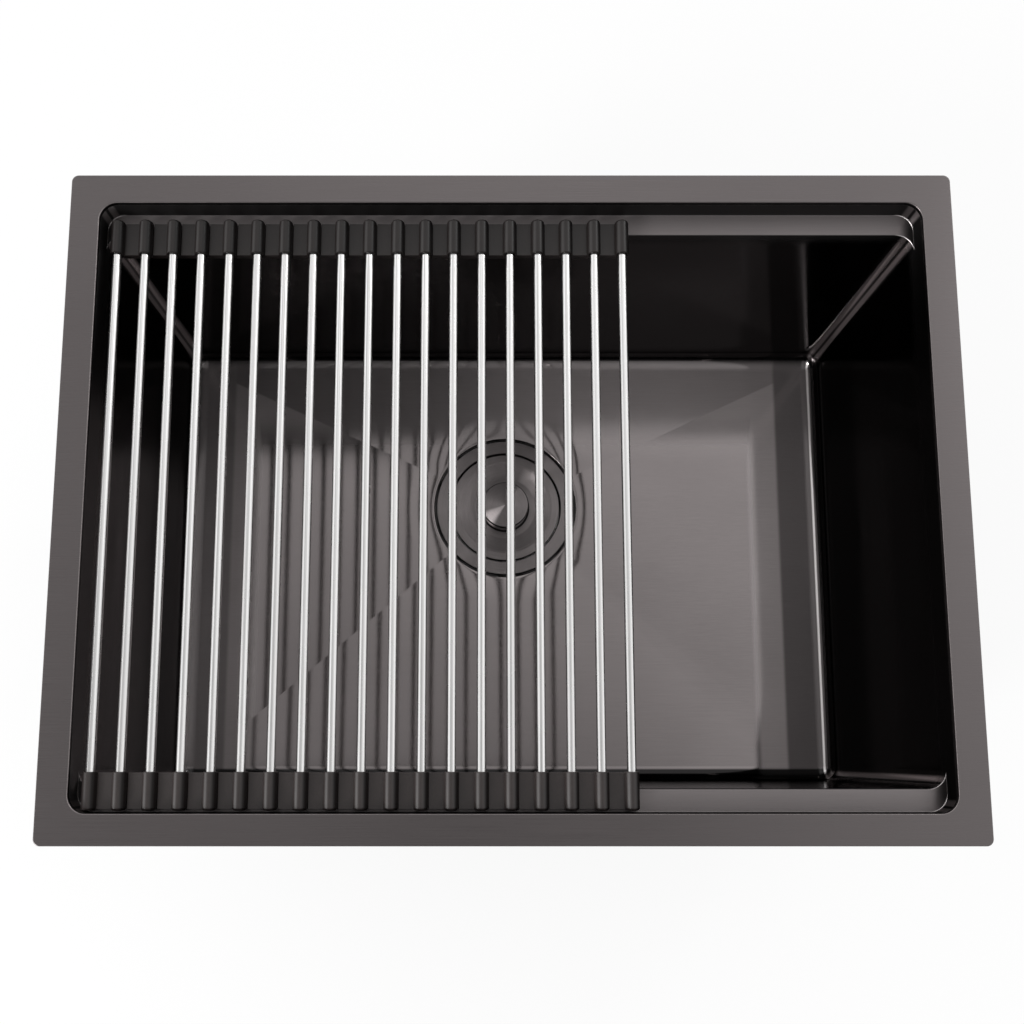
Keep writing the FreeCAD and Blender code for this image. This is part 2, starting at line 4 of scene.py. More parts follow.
import bmesh
import bpy
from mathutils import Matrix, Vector


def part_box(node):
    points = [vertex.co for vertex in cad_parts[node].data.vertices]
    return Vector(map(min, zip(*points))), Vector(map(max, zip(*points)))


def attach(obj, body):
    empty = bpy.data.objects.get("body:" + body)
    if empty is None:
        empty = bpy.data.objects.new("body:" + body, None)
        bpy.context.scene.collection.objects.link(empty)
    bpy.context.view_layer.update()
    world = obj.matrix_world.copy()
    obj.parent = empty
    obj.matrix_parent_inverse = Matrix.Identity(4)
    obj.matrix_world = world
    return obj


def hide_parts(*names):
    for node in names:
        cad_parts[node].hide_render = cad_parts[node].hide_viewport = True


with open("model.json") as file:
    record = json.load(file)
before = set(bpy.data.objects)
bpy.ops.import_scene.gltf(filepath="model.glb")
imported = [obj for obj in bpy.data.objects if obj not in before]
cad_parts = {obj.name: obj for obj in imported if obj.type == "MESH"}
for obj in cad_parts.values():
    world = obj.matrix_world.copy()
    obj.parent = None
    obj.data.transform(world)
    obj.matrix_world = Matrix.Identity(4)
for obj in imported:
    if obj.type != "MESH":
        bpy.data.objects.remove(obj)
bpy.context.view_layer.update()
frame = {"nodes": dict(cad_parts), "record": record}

MM = 0.001
NODES = frame["nodes"]
BODIES = frame["record"]["behaviour"]["bodies"]
BODY_OF = {node: body for body, members in BODIES.items() for node in members}

# ------------------------------------------------------------------- sizes, mm
# The origin is the centre of the rim's top plane; X runs to the right, Y to the back.
RIM_X, RIM_Y = 300.0, 225.0
RIM_THICK = 3.0
RIM_CORNER = 4.5
RIM_ROLL = 0.7
OPEN_X, OPEN_Y = 280.0, 205.0
BOWL_Y = 190.0
CORNER = 12.0
CORNER_STEPS = 12
LEDGE_Z = -15.0
FLOOR_Z = -215.0
DRAIN_Z = -219.0
DRAIN_Y = 52.0
SHEET = 1.2
LEDGE_FOLD = 0.9
LEDGE_LIP = 0.9
FALL = 4.7
DISH_R = 88.0
RECESS_R = 63.3
CREASE_SLOPE = (BOWL_Y - CORNER - DRAIN_Y) / (OPEN_X - CORNER)
RECESS_EDGE = 0.7
RECESS_Z = -222.0
HOLE_R = 51.8
DISH_RINGS = [DISH_R, 84, 80, 76, 73, 70, 68, 66, RECESS_R + RECESS_EDGE]
ROUND = 96
NEARLY_ZERO = 0.0001

# Heights of the waste are from the top of the strainer's flange.
STRAINER_BORE, STRAINER_R = 49.6, 51.1
FLANGE_R, FLANGE_FOOT = 61.0, -1.5
CONE_TOP, CONE_FOOT = -41.3, -47.4
OUTLET_BORE, OUTLET_R, OUTLET_FOOT = 22.3, 23.9, -74.0
THREAD_FOOT, THREAD_TOP = -72.5, -50.0
THREAD_DEPTH, THREAD_PITCH = 0.9, 1.8
COVER_R, COVER_FOOT = 48.6, -4.2
SCREW_R = 2.5
DISH_FLOOR = -3.6
KNOB_R, KNOB_NECK_R = 20.6, 16.5

ROD_COUNT = 19
PITCH = 19.25
FIRST_ROD_X = -270.25
rod_low, rod_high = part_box("rack_rod_01")
ROD_Z = (rod_low.z + rod_high.z) / 2 / MM
RACK_Y = (rod_low.y + rod_high.y) / 2 / MM
ROD_R = 3.0
ROD_HALF = 197.5
BULGE_R = 4.75
STRIP_IN, STRIP_OUT = 175.5, 200.0
WEB_REACH = 3.5
WEB_TOP = -0.75
GROOVE_HALF, GROOVE_DEPTH = 0.22, 0.18
LIP_WIDTH, LIP_RISE = 0.9, 0.28
HINGE_GAP = 0.3


# ------------------------------------------------------------ modelling helpers
def only(piece):
    """Leaves one object selected and active."""
    if bpy.context.object and bpy.context.object.mode != "OBJECT":
        bpy.ops.object.mode_set(mode="OBJECT")
    bpy.ops.object.select_all(action="DESELECT")
    piece.select_set(True)
    bpy.context.view_layer.objects.active = piece


def begin(name, primitive, location=(0, 0, 0), **measures):
    """Adds a primitive at its place, given in millimetres, and opens it for editing."""
    bpy.ops.object.select_all(action="DESELECT")
    primitive(location=Vector(location) * MM, **measures)
    piece = bpy.context.object
    piece.name = piece.data.name = name
    bpy.ops.object.transform_apply(location=True, rotation=True, scale=True)
    bpy.ops.object.mode_set(mode="EDIT")
    return piece


def done(piece):
    bpy.ops.object.mode_set(mode="OBJECT")
    return piece


def reopen(piece):
    """Opens a finished piece for editing again."""
    only(piece)
    bpy.ops.object.mode_set(mode="EDIT")


def select_mesh():
    bpy.ops.mesh.select_all(action="SELECT")


def face_out():
    """Turns the faces of the open piece outwards."""
    select_mesh()
    bpy.ops.mesh.normals_make_consistent(inside=False)


def face_up(piece, face):
    """Turns the whole piece over if this face, which has to look up, looks down."""
    if face.normal.z < 0:
        reopen(piece)
        select_mesh()
        bpy.ops.mesh.flip_normals()
        done(piece)


def twin(piece):
    """A second piece with a mesh of its own."""
    copy = piece.copy()
    copy.data = piece.data.copy()
    bpy.context.scene.collection.objects.link(copy)
    return copy


def pick(piece, kind, wanted):
    """Selects the vertices, edges or faces whose centre, in millimetres, passes the test."""
    bpy.ops.mesh.select_mode(type=kind)
    bpy.ops.mesh.select_all(action="DESELECT")
    shape = bmesh.from_edit_mesh(piece.data)
    if kind == "VERT":
        for vert in shape.verts:
            vert.select_set(bool(wanted(vert.co / MM)))
    elif kind == "EDGE":
        for edge in shape.edges:
            middle = (edge.verts[0].co + edge.verts[1].co) / 2 / MM
            along = (edge.verts[1].co - edge.verts[0].co).normalized()
            edge.select_set(bool(wanted(middle, along)))
    else:
        shape.normal_update()
        for face in shape.faces:
            face.select_set(bool(wanted(face.calc_center_median() / MM, face.normal)))
    bmesh.update_edit_mesh(piece.data)


def narrow(piece, wanted):
    """Keeps only those selected vertices that pass the test, and returns all that were selected."""
    shape = bmesh.from_edit_mesh(piece.data)
    shape.verts.ensure_lookup_table()
    ring = [vert.index for vert in shape.verts if vert.select]
    for vert in shape.verts:
        vert.select_set(False)
    for index in ring:
        if wanted(shape.verts[index].co / MM):
            shape.verts[index].select_set(True)
    bmesh.update_edit_mesh(piece.data)
    return ring


def widen(piece, ring):
    """Selects a ring of vertices again, with the edges between them."""
    shape = bmesh.from_edit_mesh(piece.data)
    shape.verts.ensure_lookup_table()
    for index in ring:
        shape.verts[index].select_set(True)
    shape.select_flush_mode()
    members = set(ring)
    for edge in shape.edges:
        if edge.is_boundary or edge.is_wire:
            if edge.verts[0].index in members and edge.verts[1].index in members:
                edge.select_set(True)
    bmesh.update_edit_mesh(piece.data)


def draw_ring(dz):
    """Draws the selected edge ring along Z by a step in millimetres."""
    bpy.ops.mesh.extrude_edges_move(TRANSFORM_OT_translate={"value": (0, 0, dz * MM)})


def spread_sides(piece, dy):
    """Moves the back half of the selected ring by +dy and its front half by -dy."""
    for side in (1, -1):
        ring = narrow(piece, lambda at: at.y * side > 0)
        bpy.ops.transform.translate(value=(0, side * dy * MM, 0))
        widen(piece, ring)


def tighten_corners(piece, centre_x, centre_y, factor):
    """Shrinks each rounded corner of the selected ring about its own centre."""
    for across in (1, -1):
        for along in (1, -1):
            ring = narrow(piece, lambda at: at.x * across > 0 and at.y * along > 0)
            bpy.ops.transform.resize(
                value=(factor, factor, 1),
                center_override=(across * centre_x * MM, along * centre_y * MM, 0))
            widen(piece, ring)


def turn_on(outline):
    """Draws the selected ring round the drain's axis through the outline's radii and heights."""
    for (radius, height), (next_radius, next_height) in zip(outline, outline[1:]):
        draw_ring(next_height - height)
        factor = max(next_radius, NEARLY_ZERO) / radius
        bpy.ops.transform.resize(value=(factor, factor, 1), center_override=(0, DRAIN_Y * MM, 0))
        if next_radius == 0:
            bpy.ops.mesh.merge(type="CENTER")


def turned(name, outline, closed=True):
    """A turned piece on the drain's axis."""
    radius, height = outline[0]
    piece = begin(name, bpy.ops.mesh.primitive_circle_add, (0, DRAIN_Y, DRAIN_Z + height),
                  vertices=ROUND, radius=radius * MM, fill_type="NOTHING")
    select_mesh()
    turn_on(outline + ([outline[0]] if closed else []))
    select_mesh()
    bpy.ops.mesh.remove_doubles(threshold=0.01 * MM)
    face_out()
    return done(piece)


def apply_modifier(piece, kind, **settings):
    only(piece)
    modifier = piece.modifiers.new(kind.lower(), kind)
    for key, value in settings.items():
        setattr(modifier, key, value)
    bpy.ops.object.modifier_apply(modifier=modifier.name)


def smooth(piece, angle):
    """Smooth shading that leaves wide faces flat and keeps edges sharper than the angle."""
    only(piece)
    bpy.ops.object.shade_smooth_by_angle(angle=math.radians(angle))
    apply_modifier(piece, "WEIGHTED_NORMAL", mode="FACE_AREA", weight=80, keep_sharp=True)


def dress(piece, finishes, nodes):
    """Gives a finished piece its materials, its body and the CAD nodes that it stands for."""
    piece.data.materials.clear()
    for finish in finishes:
        piece.data.materials.append(finish)
    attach(piece, BODY_OF[nodes[0]])
    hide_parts(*nodes)


# ------------------------------------------------------------- finishes, nodes
def feed(tree, socket, value):
    """Links another node's output to a socket, or sets the socket to a number or a tuple."""
    if isinstance(value, bpy.types.NodeSocket):
        tree.links.new(value, socket)
    else:
        socket.default_value = value


def put(tree, kind, settings=None, **inputs):
    """Adds a node. An input is given by its name, or by the letter i and its number."""
    node = tree.nodes.new(kind)
    for key, value in (settings or {}).items():
        setattr(node, key, value)
    for key, value in inputs.items():
        numbered = key[0] == "i" and key[1:].isdigit()
        feed(tree, node.inputs[int(key[1:]) if numbered else key.replace("_", " ")], value)
    return node


def maths(tree, operation, a, b=0.0, clamp=False):
    settings = {"operation": operation, "use_clamp": clamp}
    return put(tree, "ShaderNodeMath", settings, i0=a, i1=b).outputs[0]


def times(tree, a, b):
    return maths(tree, "MULTIPLY", a, b)


def plus(tree, a, b):
    return maths(tree, "ADD", a, b)


def less(tree, a, b):
    return maths(tree, "SUBTRACT", a, b)


def between(tree, value, low, high, to_low=0.0, to_high=1.0):
    """A smooth change from one result to another while the value goes from low to high."""
    return put(tree, "ShaderNodeMapRange", {"interpolation_type": "SMOOTHSTEP"}, Value=value,
               From_Min=low, From_Max=high, To_Min=to_low, To_Max=to_high).outputs[0]


def zone(tree, value, limits, to_low=0.0, to_high=1.0):
    """The same between two places in millimetres."""
    return between(tree, value, limits[0] * MM, limits[1] * MM, to_low, to_high)


def scaled(tree, colour, factor):
    """A colour, or any other vector, times a number."""
    return put(tree, "ShaderNodeVectorMath", {"operation": "SCALE"}, i0=colour,
               Scale=factor).outputs[0]


def parts_of(tree, vector):
    return put(tree, "ShaderNodeSeparateXYZ", i0=vector).outputs


def noise(tree, vector, scale, detail, roughness=0.5):
    return put(tree, "ShaderNodeTexNoise", Vector=vector, Scale=scale, Detail=detail,
               Roughness=roughness).outputs[0]


def facing_way(tree):
    return tree.nodes.new("ShaderNodeNewGeometry").outputs["Normal"]


def tint(tree, factor, first, second):
    """Blends two colours."""
    node = tree.nodes.new("ShaderNodeMix")
    node.data_type = "RGBA"
    for index, value in ((0, factor), (6, first), (7, second)):
        if isinstance(value, tuple) and len(value) == 3:
            value = (*value, 1)
        feed(tree, node.inputs[index], value)
    return node.outputs[2]


def shader_group(name, inputs, outputs):
    group = bpy.data.node_groups.new(name, "ShaderNodeTree")
    for label, kind, default in inputs:
        socket = group.interface.new_socket(name=label, in_out="INPUT", socket_type=kind)
        if default is not None:
            socket.default_value = default
    for label, kind in outputs:
        group.interface.new_socket(name=label, in_out="OUTPUT", socket_type=kind)
    entry = group.nodes.new("NodeGroupInput")
    leave = group.nodes.new("NodeGroupOutput")
    return group, entry.outputs, leave.inputs


def use(tree, group, **inputs):
    node = tree.nodes.new("ShaderNodeGroup")
    node.node_tree = group
    for key, value in inputs.items():
        feed(tree, node.inputs[key.replace("_", " ")], value)
    return node.outputs


def make_brush_lines():
    """Long fine lines left by the brushing belt."""
    group, given, out = shader_group(
        "brush_lines",
        [("Vector", "NodeSocketVector", None), ("Stretch", "NodeSocketVector", (1, 1, 1)),
         ("Finer", "NodeSocketFloat", 4.0)],
        [("Lines", "NodeSocketFloat"), ("Broad", "NodeSocketFloat")])
    stretched = put(group, "ShaderNodeVectorMath", {"operation": "MULTIPLY"},
                    i0=given["Vector"], i1=given["Stretch"]).outputs[0]
    coarse = noise(group, stretched, 1.0, 3.0, 0.6)
    fine = noise(group, scaled(group, stretched, given["Finer"]), 1.0, 2.0, 0.7)
    feed(group, out["Lines"], plus(group, times(group, coarse, 0.45), times(group, fine, 0.55)))
    feed(group, out["Broad"], coarse)
    return group


def make_mottle():
    """Slow cloudy change over a surface, and a finer speckle."""
    group, given, out = shader_group(
        "mottle",
        [("Vector", "NodeSocketVector", None), ("Cloud Scale", "NodeSocketFloat", 12.0),
         ("Speck Scale", "NodeSocketFloat", 900.0)],
        [("Cloud", "NodeSocketFloat"), ("Speck", "NodeSocketFloat")])
    feed(group, out["Cloud"], noise(group, given["Vector"], given["Cloud Scale"], 3.0))
    feed(group, out["Speck"], noise(group, given["Vector"], given["Speck Scale"], 2.0, 0.6))
    return group


def make_edge_rub():
    """A mask of the outer edges, where handling has rubbed the finish."""
    group, given, out = shader_group(
        "edge_rub",
        [("Vector", "NodeSocketVector", None), ("Reach", "NodeSocketFloat", 0.0006),
         ("Patches", "NodeSocketFloat", 220.0)],
        [("Mask", "NodeSocketFloat")])
    soft = put(group, "ShaderNodeBevel", {"samples": 4}, Radius=given["Reach"]).outputs[0]
    facing = put(group, "ShaderNodeVectorMath", {"operation": "DOT_PRODUCT"},
                 i0=soft, i1=facing_way(group)).outputs["Value"]
    turn = between(group, facing, 0.995, 0.80)
    patch = noise(group, given["Vector"], given["Patches"], 3.0)
    broken = between(group, patch, 0.38, 0.62, 0.35, 1.0)
    feed(group, out["Mask"], maths(group, "MULTIPLY", turn, broken, clamp=True))
    return group


BRUSH_LINES = make_brush_lines()
MOTTLE = make_mottle()
EDGE_RUB = make_edge_rub()

# Painted light and shade among these tones: the dark wall tone on steep faces, the pale dull tone and
# the dark strip tone at the floor's edges, and the corner, rolled and glint tones, which are painted
# highlights.
STEEL_RIM = (0.145, 0.1305, 0.1305)
STEEL_FLOOR = (0.262, 0.236, 0.236)
STEEL_DULL = (0.490, 0.443, 0.443)
STEEL_STRIP = (0.212, 0.192, 0.192)
STEEL_LEDGE = (0.185, 0.167, 0.167)
STEEL_WALL = (0.0198, 0.0188, 0.0189)
STEEL_CORNER_SHINE = (0.48, 0.436, 0.436)
STEEL_EDGE = (0.50, 0.46, 0.455)
STEEL_ROLL_SHINE = (0.28, 0.25, 0.25)
STEEL_GLINT = (0.95, 0.90, 0.895)
EDGE_RUBBED = 0.8

# Where tones change, mm: each pair is where a change starts and where it is complete.
# Most of these bound painted light and shade: the lighter left wall, the floor's pale edges, its dark
# strip and its lighter right, the shaded back fall, the highlight lines at the curls and the bend, the
# ledges' shaded ends, the rolled edge's highlight, and the knob's and the dish's highlight and shade
# wedges.
LEFT_WALL_LIGHT_Y = (90.0, 40.0)
REAR_Y = (90.0, 140.0)
DULL_X = (215.5, 222.5)
STRIP_X = (241.5, 245.5)
DULL_LIGHTENS_X = (-180.0, 160.0)
FLOOR_LIGHTENS_X = (-240.0, 20.0)
CREASE_BLUR = (-1.0, 1.0)
CURL_X = (266.0, 272.0)
CURL_BASE_Z, CURL_TOP_Z = (-16.3, -15.9), (-13.8, -14.2)
BEND_Z = (-190.0, -200.0)
LEDGE_ABOVE_Z = (-30.0, -17.0)
LEDGE_END_X = (268.0, 278.5)
RECESS_TOP_Z = (-220.4, -219.6)
RIM_ROLL_Z, RIM_FOOT_Z = (-1.0, -0.6), (-1.8, -1.0)
KNOB_EDGE_R, KNOB_FACE_R = (20.0, 20.6), (0.0, 19.0)
DISH_INNER_R, DISH_OUTER_R = (26.5, 28.5), (41.0, 39.0)


def new_finish(name):
    finish = bpy.data.materials.new(name)
    finish.use_nodes = True
    tree = finish.node_tree
    tree.nodes.clear()
    shader = tree.nodes.new("ShaderNodeBsdfPrincipled")
    output = tree.nodes.new("ShaderNodeOutputMaterial")
    tree.links.new(shader.outputs[0], output.inputs["Surface"])
    place = tree.nodes.new("ShaderNodeTexCoord").outputs["Object"]
    return finish, tree, shader, place


def bump(tree, shader, height, distance):
    node = put(tree, "ShaderNodeBump", Strength=1.0, Distance=distance, Height=height)
    feed(tree, shader.inputs["Normal"], node.outputs[0])


def along_belt(tree, shader, axis):
    """Stretches highlights across the brush lines."""
    tangent = tree.nodes.new("ShaderNodeTangent")
    tangent.direction_type = "RADIAL"
    tangent.axis = axis
    feed(tree, shader.inputs["Tangent"], tangent.outputs[0])


def wall_tones(tree, spot, ways, across):
    """Steep faces in a dark tone that is painted shade, with painted light on the left and back walls
    and painted highlight bands in the curved corners, either side of the ground weld's line.
    """
    # painted light: the left wall, most towards the front, and the back wall are lighter than the other
    # walls
    left = times(tree, maths(tree, "MAXIMUM", ways["X"], 0.0),
                 zone(tree, spot["Y"], LEFT_WALL_LIGHT_Y, 2.0, 7.6))
    back = times(tree, maths(tree, "MAXIMUM", times(tree, ways["Y"], -1.0), 0.0), 2.8)
    wall = scaled(tree, STEEL_WALL, plus(tree, plus(tree, left, back), 1.0))
    # painted highlight: two light bands in each curved corner, either side of the ground weld's line
    # down its middle
    corner = times(tree, maths(tree, "ABSOLUTE", times(tree, ways["X"], ways["Y"])), 2.0)
    corner_shine = times(tree, between(tree, corner, 0.5, 0.85), between(tree, corner, 1.0, 0.97))
    wall = tint(tree, corner_shine, wall, STEEL_CORNER_SHINE)
    # painted highlight: thin bright lines along the fold and the lip where they curve in at the corners
    curl = times(tree, zone(tree, spot["Z"], CURL_BASE_Z), zone(tree, spot["Z"], CURL_TOP_Z))
    curl = times(tree, curl, zone(tree, across, CURL_X))
    return tint(tree, times(tree, curl, between(tree, ways["Z"], 0.12, 0.4)), wall, STEEL_GLINT)


def bend_glint(tree, spot, ways):
    """A bright and a faint painted highlight line where the bend under the right wall faces the left
    light.
    """
    def line(lean, near, far, strength):
        off = maths(tree, "ABSOLUTE", plus(tree, ways["X"], lean))
        return between(tree, off, near, far, strength, 0.0)

    lines = maths(tree, "MAXIMUM", line(0.50, 0.03, 0.10, 1.0), line(0.80, 0.02, 0.06, 0.35))
    return times(tree, lines, zone(tree, spot["Z"], BEND_Z))


def floor_tones(tree, spot, ways, across, rear, dull):
    """A clear middle and duller, pale edges, both painted lighter towards the right; the pale edges are
    painted light where the floor would mirror the walls. A painted dark strip runs beside the side
    walls, and the fall at the back, beyond the two creases, is painted darker as shade.
    """
    beyond = less(tree, less(tree, spot["Y"], DRAIN_Y * MM), times(tree, across, CREASE_SLOPE))
    shaded = times(tree, rear, zone(tree, beyond, CREASE_BLUR, 0.06, 0.36))
    lighter = zone(tree, spot["X"], DULL_LIGHTENS_X, 0.74, 1.14)
    pale = scaled(tree, STEEL_DULL, less(tree, lighter, shaded))
    clear = scaled(tree, STEEL_FLOOR, zone(tree, spot["X"], FLOOR_LIGHTENS_X, 0.80, 1.0))
    floor = tint(tree, dull, clear, pale)
    floor = tint(tree, zone(tree, across, STRIP_X), floor, STEEL_STRIP)
    # painted shade: the bend under the front wall, where it faces the back, takes the walls' dark tone
    return tint(tree, between(tree, ways["Y"], 0.10, 0.28), floor, STEEL_WALL)


def bowl_tones(tree, shader, place, ways, lying):
    """Colour of the bowl, and how much rougher its ledges are. The ledges and the floor's painted pale
    edges look less like metal.
    """
    spot = parts_of(tree, place)
    across = maths(tree, "ABSOLUTE", spot["X"])
    shader.inputs["Specular Tint"].default_value = (0.5, 0.5, 0.5, 1)
    wall = wall_tones(tree, spot, ways, across)
    rear = zone(tree, spot["Y"], REAR_Y)
    dull = maths(tree, "MAXIMUM", zone(tree, across, DULL_X), rear)
    ledge = zone(tree, spot["Z"], LEDGE_ABOVE_Z)
    # painted shade: the ledge darkens towards its ends in the corners
    ledge_tone = scaled(tree, STEEL_LEDGE, zone(tree, across, LEDGE_END_X, 1.0, 0.12))
    flat = tint(tree, ledge, floor_tones(tree, spot, ways, across, rear, dull), ledge_tone)
    # less metal on the ledges and on the floor's pale edges, which carry painted light
    unmirrored = plus(tree, times(tree, ledge, 0.6),
                times(tree, less(tree, 1.0, ledge), times(tree, dull, 0.8)))
    feed(tree, shader.inputs["Metallic"], less(tree, 1.0, times(tree, unmirrored, lying)))
    above = zone(tree, spot["Z"], RECESS_TOP_Z)
    # painted shade: steep faces take the dark wall tone, lying faces the floor's and the ledges' tones
    base = tint(tree, times(tree, lying, above), wall, flat)
    return tint(tree, bend_glint(tree, spot, ways), base, STEEL_GLINT), times(tree, ledge, 0.22)


def rim_tones(tree, place, lying):
    """Colour of the flange, painted dark down its opening as shade with a painted highlight on the
    rolled edge, and how rubbed its edges are.
    """
    spot = parts_of(tree, place)
    inside = times(
        tree, zone(tree, maths(tree, "ABSOLUTE", spot["X"]), (OPEN_X + 2, OPEN_X + 6), 1.0, 0.0),
        zone(tree, maths(tree, "ABSOLUTE", spot["Y"]), (OPEN_Y + 2, OPEN_Y + 6), 1.0, 0.0))
    steep = tint(tree, zone(tree, spot["Z"], RIM_ROLL_Z), STEEL_WALL, STEEL_ROLL_SHINE)
    base = tint(tree, times(tree, inside, less(tree, 1.0, lying)), STEEL_RIM, steep)
    sheltered = times(tree, inside, zone(tree, spot["Z"], RIM_FOOT_Z, 1.0, 0.0))
    return base, less(tree, EDGE_RUBBED, times(tree, sheltered, EDGE_RUBBED))


def brushed_sheet(name, tones, roughness, aniso, stretch, line_depth, streaks=0.08):
    """Brushed gunmetal: a tone for lying and one for steep faces, or those of the bowl or rim."""
    finish, tree, shader, place = new_finish(name)
    shader.inputs["Metallic"].default_value = 1.0
    shader.inputs["Anisotropic"].default_value = aniso
    lines = use(tree, BRUSH_LINES, Vector=place, Stretch=stretch, Finer=2.5)
    cloud = use(tree, MOTTLE, Vector=place, Cloud_Scale=9.0, Speck_Scale=700.0)
    ways = parts_of(tree, facing_way(tree))
    lying = between(tree, ways["Z"], 0.55, 0.99)
    rougher, rub = 0.0, EDGE_RUBBED
    if tones == "bowl":
        base, rougher = bowl_tones(tree, shader, place, ways, lying)
    elif tones == "rim":
        base, rub = rim_tones(tree, place, lying)
    else:
        flat, steep = tones
        base = tint(tree, lying, steep, flat)
    shade = plus(tree, times(tree, lines["Lines"], 0.5), times(tree, cloud["Cloud"], 0.25))
    lined = scaled(tree, base, between(tree, shade, 0.25, 0.5, 1.0 - streaks, 1.0 + streaks))
    mask = use(tree, EDGE_RUB, Vector=place, Reach=0.7 * MM, Patches=160.0)["Mask"]
    feed(tree, shader.inputs["Base Color"], tint(tree, times(tree, mask, rub), lined, STEEL_EDGE))
    grain = between(tree, lines["Broad"], 0.3, 0.7, roughness * 0.88, roughness * 1.14)
    feed(tree, shader.inputs["Roughness"], plus(tree, rougher, grain))
    bump(tree, shader, lines["Lines"], line_depth)
    along_belt(tree, shader, "X")
    return finish


def shade_ring(tree, radius, middle, half):
    """A dark ring of painted shade, in millimetres from the drain's axis, in the gap beside an edge."""
    off = maths(tree, "ABSOLUTE", less(tree, radius, middle * MM))
    return zone(tree, off, (half, half + 0.5), 1.0, 0.0)


def spun_highlights(tree, radius, angle):
    """Painted highlight and painted shade in wedges about the axis: how much lighter or darker the
    knob's top and the dish are.
    """
    def wedge(turn, full, edge, strength):
        return times(tree, between(tree, maths(tree, "COSINE", less(tree, angle, turn)), edge, full),
                     strength)

    on_knob = times(tree, zone(tree, radius, KNOB_EDGE_R, 1.0, 0.0),
                    zone(tree, radius, KNOB_FACE_R, 0.35, 1.0))
    on_dish = times(tree, zone(tree, radius, DISH_INNER_R), zone(tree, radius, DISH_OUTER_R))
    knob = less(tree, wedge(-2.45, 0.999, 0.90, 2.8), wedge(1.9, 0.98, 0.3, 0.35))
    dish = less(tree, wedge(0.75, 0.99, 0.9, 0.8), wedge(-1.2, 0.95, 0.4, 0.3))
    return plus(tree, times(tree, on_knob, knob), times(tree, on_dish, dish))


def turned_metal(name, colour, roughness):
    """Gunmetal turned on a lathe, with fine rings round the drain's axis."""
    finish, tree, shader, place = new_finish(name)
    shader.inputs["Metallic"].default_value = 1.0
    shader.inputs["Anisotropic"].default_value = 1.0
    shader.inputs["Anisotropic Rotation"].default_value = 0.25
    centred = put(tree, "ShaderNodeMapping", {"vector_type": "POINT"}, Vector=place,
                  Location=(0, -DRAIN_Y * MM, -DRAIN_Z * MM)).outputs[0]
    parts = parts_of(tree, centred)
    radius = maths(tree, "SQRT", plus(tree, times(tree, parts["X"], parts["X"]),
                                      times(tree, parts["Y"], parts["Y"])))
    angle = maths(tree, "ARCTAN2", parts["Y"], parts["X"])
    polar = put(tree, "ShaderNodeCombineXYZ", X=radius, Y=parts["Z"],
                Z=times(tree, angle, 0.0006)).outputs[0]
    lines = use(tree, BRUSH_LINES, Vector=polar, Stretch=(1500, 1500, 1500), Finer=3.0)
    cloud = use(tree, MOTTLE, Vector=place, Cloud_Scale=60.0, Speck_Scale=1500.0)
    shade = plus(tree, times(tree, lines["Lines"], 0.6), times(tree, cloud["Cloud"], 0.2))
    lined = scaled(tree, colour, between(tree, shade, 0.25, 0.55, 0.82, 1.14))
    mask = use(tree, EDGE_RUB, Vector=place, Reach=0.5 * MM, Patches=260.0)["Mask"]
    rubbed = tint(tree, times(tree, mask, EDGE_RUBBED), lined, STEEL_EDGE)
    # painted shade in the gaps round the cover and the knob, and painted highlight and shade wedges on
    # the knob and the dish
    gap_shade = maths(tree, "MAXIMUM", shade_ring(tree, radius, 49.1, 0.8),
                  shade_ring(tree, radius, 20.9, 0.7))
    painted_light = times(tree, less(tree, 1.0, times(tree, gap_shade, 0.92)),
                  plus(tree, spun_highlights(tree, radius, angle), 1.0))
    feed(tree, shader.inputs["Base Color"], scaled(tree, rubbed, painted_light))
    feed(tree, shader.inputs["Roughness"],
         between(tree, lines["Broad"], 0.3, 0.7, roughness * 0.85, roughness * 1.2))
    bump(tree, shader, lines["Lines"], 0.000006)
    along_belt(tree, shader, "Z")
    return finish


def rod_metal(name):
    """Satin stainless bar, drawn and then polished along its length."""
    finish, tree, shader, place = new_finish(name)
    shader.inputs["Metallic"].default_value = 1.0
    lines = use(tree, BRUSH_LINES, Vector=place, Stretch=(900, 0.8, 900), Finer=2.6)
    cloud = use(tree, MOTTLE, Vector=place, Cloud_Scale=30.0, Speck_Scale=1800.0)
    streak = between(tree, lines["Lines"], 0.3, 0.7)
    colour = tint(tree, streak, (0.60, 0.59, 0.585), (0.86, 0.855, 0.85))
    feed(tree, shader.inputs["Base Color"], colour)
    feed(tree, shader.inputs["Roughness"], between(tree, cloud["Cloud"], 0.3, 0.7, 0.22, 0.30))
    bump(tree, shader, lines["Lines"], 0.00002)
    return finish


